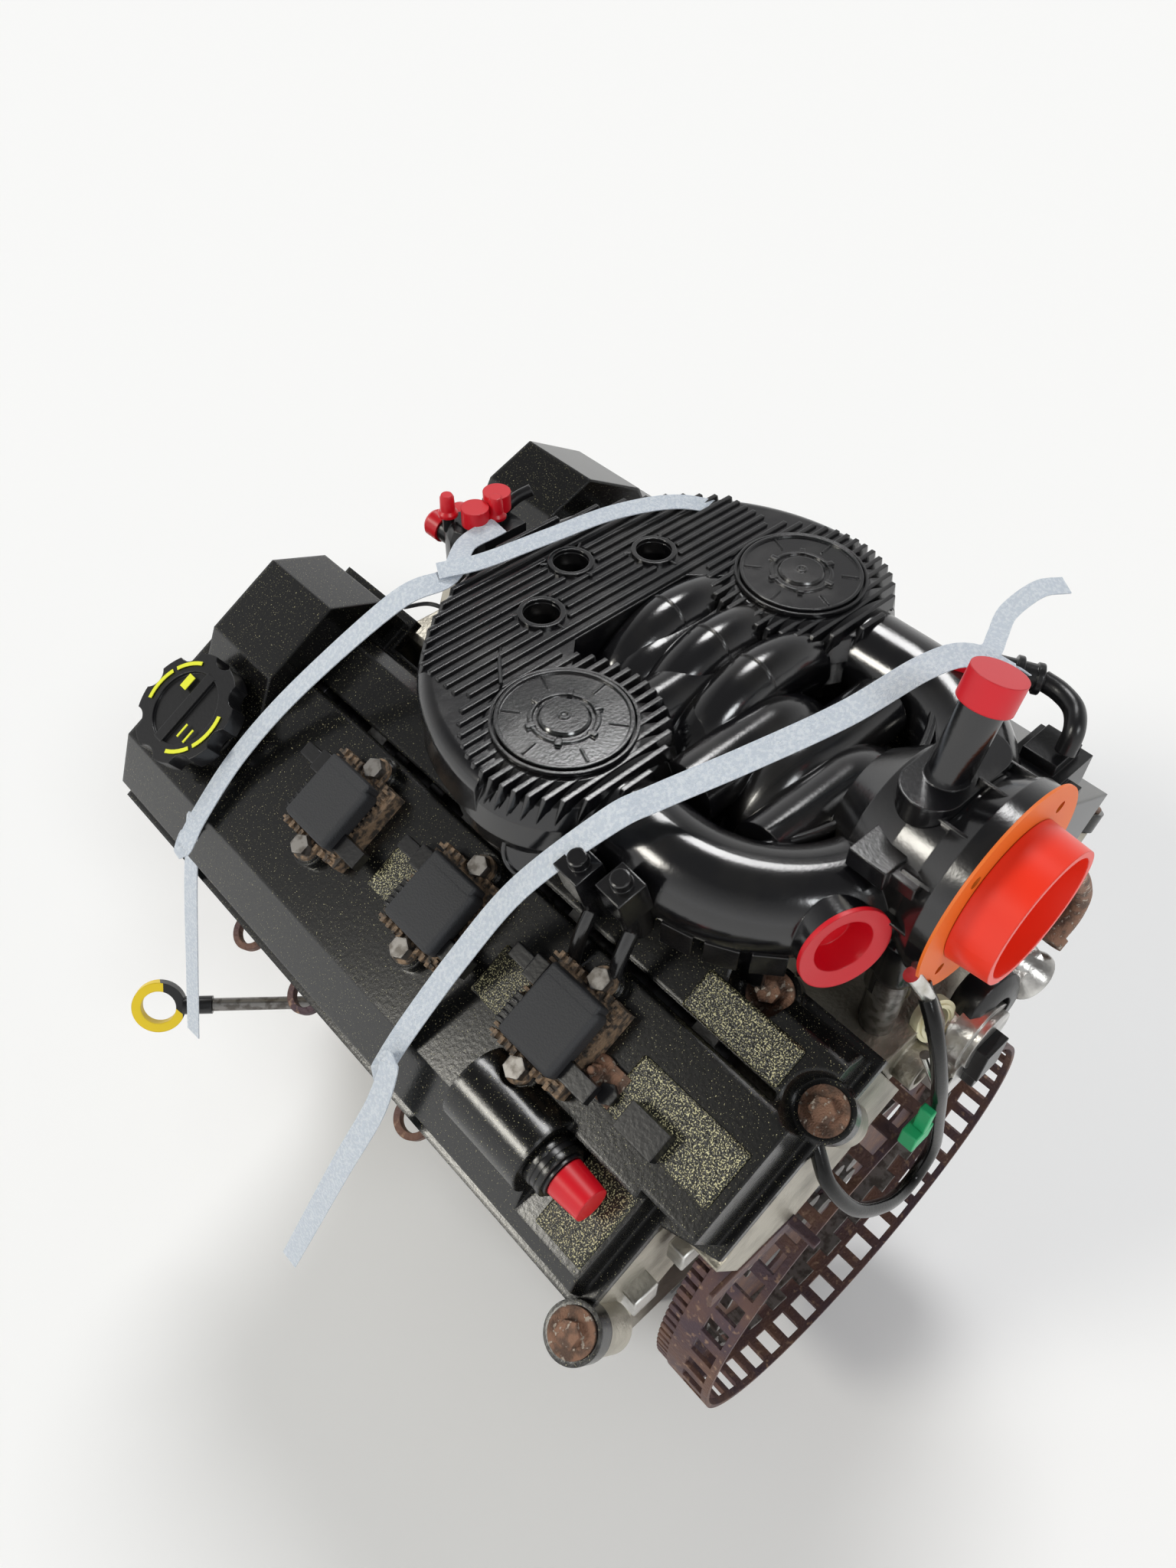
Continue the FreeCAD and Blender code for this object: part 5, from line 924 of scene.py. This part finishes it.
def studio_world():
    """A white world that is bright at the horizon and dim overhead."""
    world = bpy.data.worlds.new("studio")
    bpy.context.scene.world = world
    world.use_nodes = True
    nodes, links = world.node_tree.nodes, world.node_tree.links
    back = nodes["Background"]
    back.inputs["Color"].default_value = (1, 1, 1, 1)
    ways = nodes.new("ShaderNodeTexCoord")
    split = nodes.new("ShaderNodeSeparateXYZ")
    fade = nodes.new("ShaderNodeMapRange")
    fade.inputs["From Min"].default_value = FADE_FROM
    fade.inputs["From Max"].default_value = FADE_TO
    fade.inputs["To Min"].default_value = HORIZON
    fade.inputs["To Max"].default_value = ZENITH
    links.new(ways.outputs["Generated"], split.inputs["Vector"])
    links.new(split.outputs["Z"], fade.inputs["Value"])
    links.new(fade.outputs["Result"], back.inputs["Strength"])


def lamp(name, way, power, spread, tint):
    """A far, wide lamp that shines from the way given."""
    light = bpy.data.lights.new(name, "SUN")
    light.energy = power
    light.angle = math.radians(spread)
    light.color = tint
    thing = bpy.data.objects.new(name, light)
    thing.rotation_euler = Vector(way).to_track_quat("Z", "Y").to_euler()
    bpy.context.scene.collection.objects.link(thing)


def place_camera():
    """A camera over the flywheel end that looks down on the engine, rolled a little."""
    backward = Vector((math.sin(AZIMUTH) * math.cos(ELEVATION), -math.cos(AZIMUTH) * math.cos(ELEVATION),
                       math.sin(ELEVATION)))
    level = Vector(UP).cross(backward).normalized()
    steep = backward.cross(level)
    across = level * math.cos(ROLL) + steep * math.sin(ROLL)
    upward = steep * math.cos(ROLL) - level * math.sin(ROLL)
    camera = bpy.data.objects.new("camera", bpy.data.cameras.new("camera"))
    turn = Matrix((across, upward, backward)).transposed()
    camera.matrix_world = Matrix.Translation(EYE) @ turn.to_4x4()
    camera.data.sensor_fit = "VERTICAL"
    camera.data.sensor_height = SENSOR
    camera.data.lens = LENS
    camera.data.clip_start = 0.01
    bpy.context.scene.collection.objects.link(camera)
    bpy.context.scene.camera = camera


# ------------------------------------------------------------------ the build
for build in (
    intake_ribs, dome_discs, crossing_runners, intake_fittings,
    cover_pads, cover_trims, suppressor_tab,
    coil_shells, coil_connectors, coil_laminations, cap_marks, two_finishes,
    chrome_pipe, cream_ring, rusty_pipe, aluminium_elbow, rear_connectors, rear_plugs, green_clip, vent_hose,
    bush_boss, bush_sleeve, lifting_lug, strip_bracket,
    outlet_block, outlet_plugs, cable_tie, straps, strap_frays,
    floor, studio_world,
):
    build()
for settings in LAMPS:
    lamp(*settings)
place_camera()
bpy.context.scene.view_settings.view_transform = "Standard"
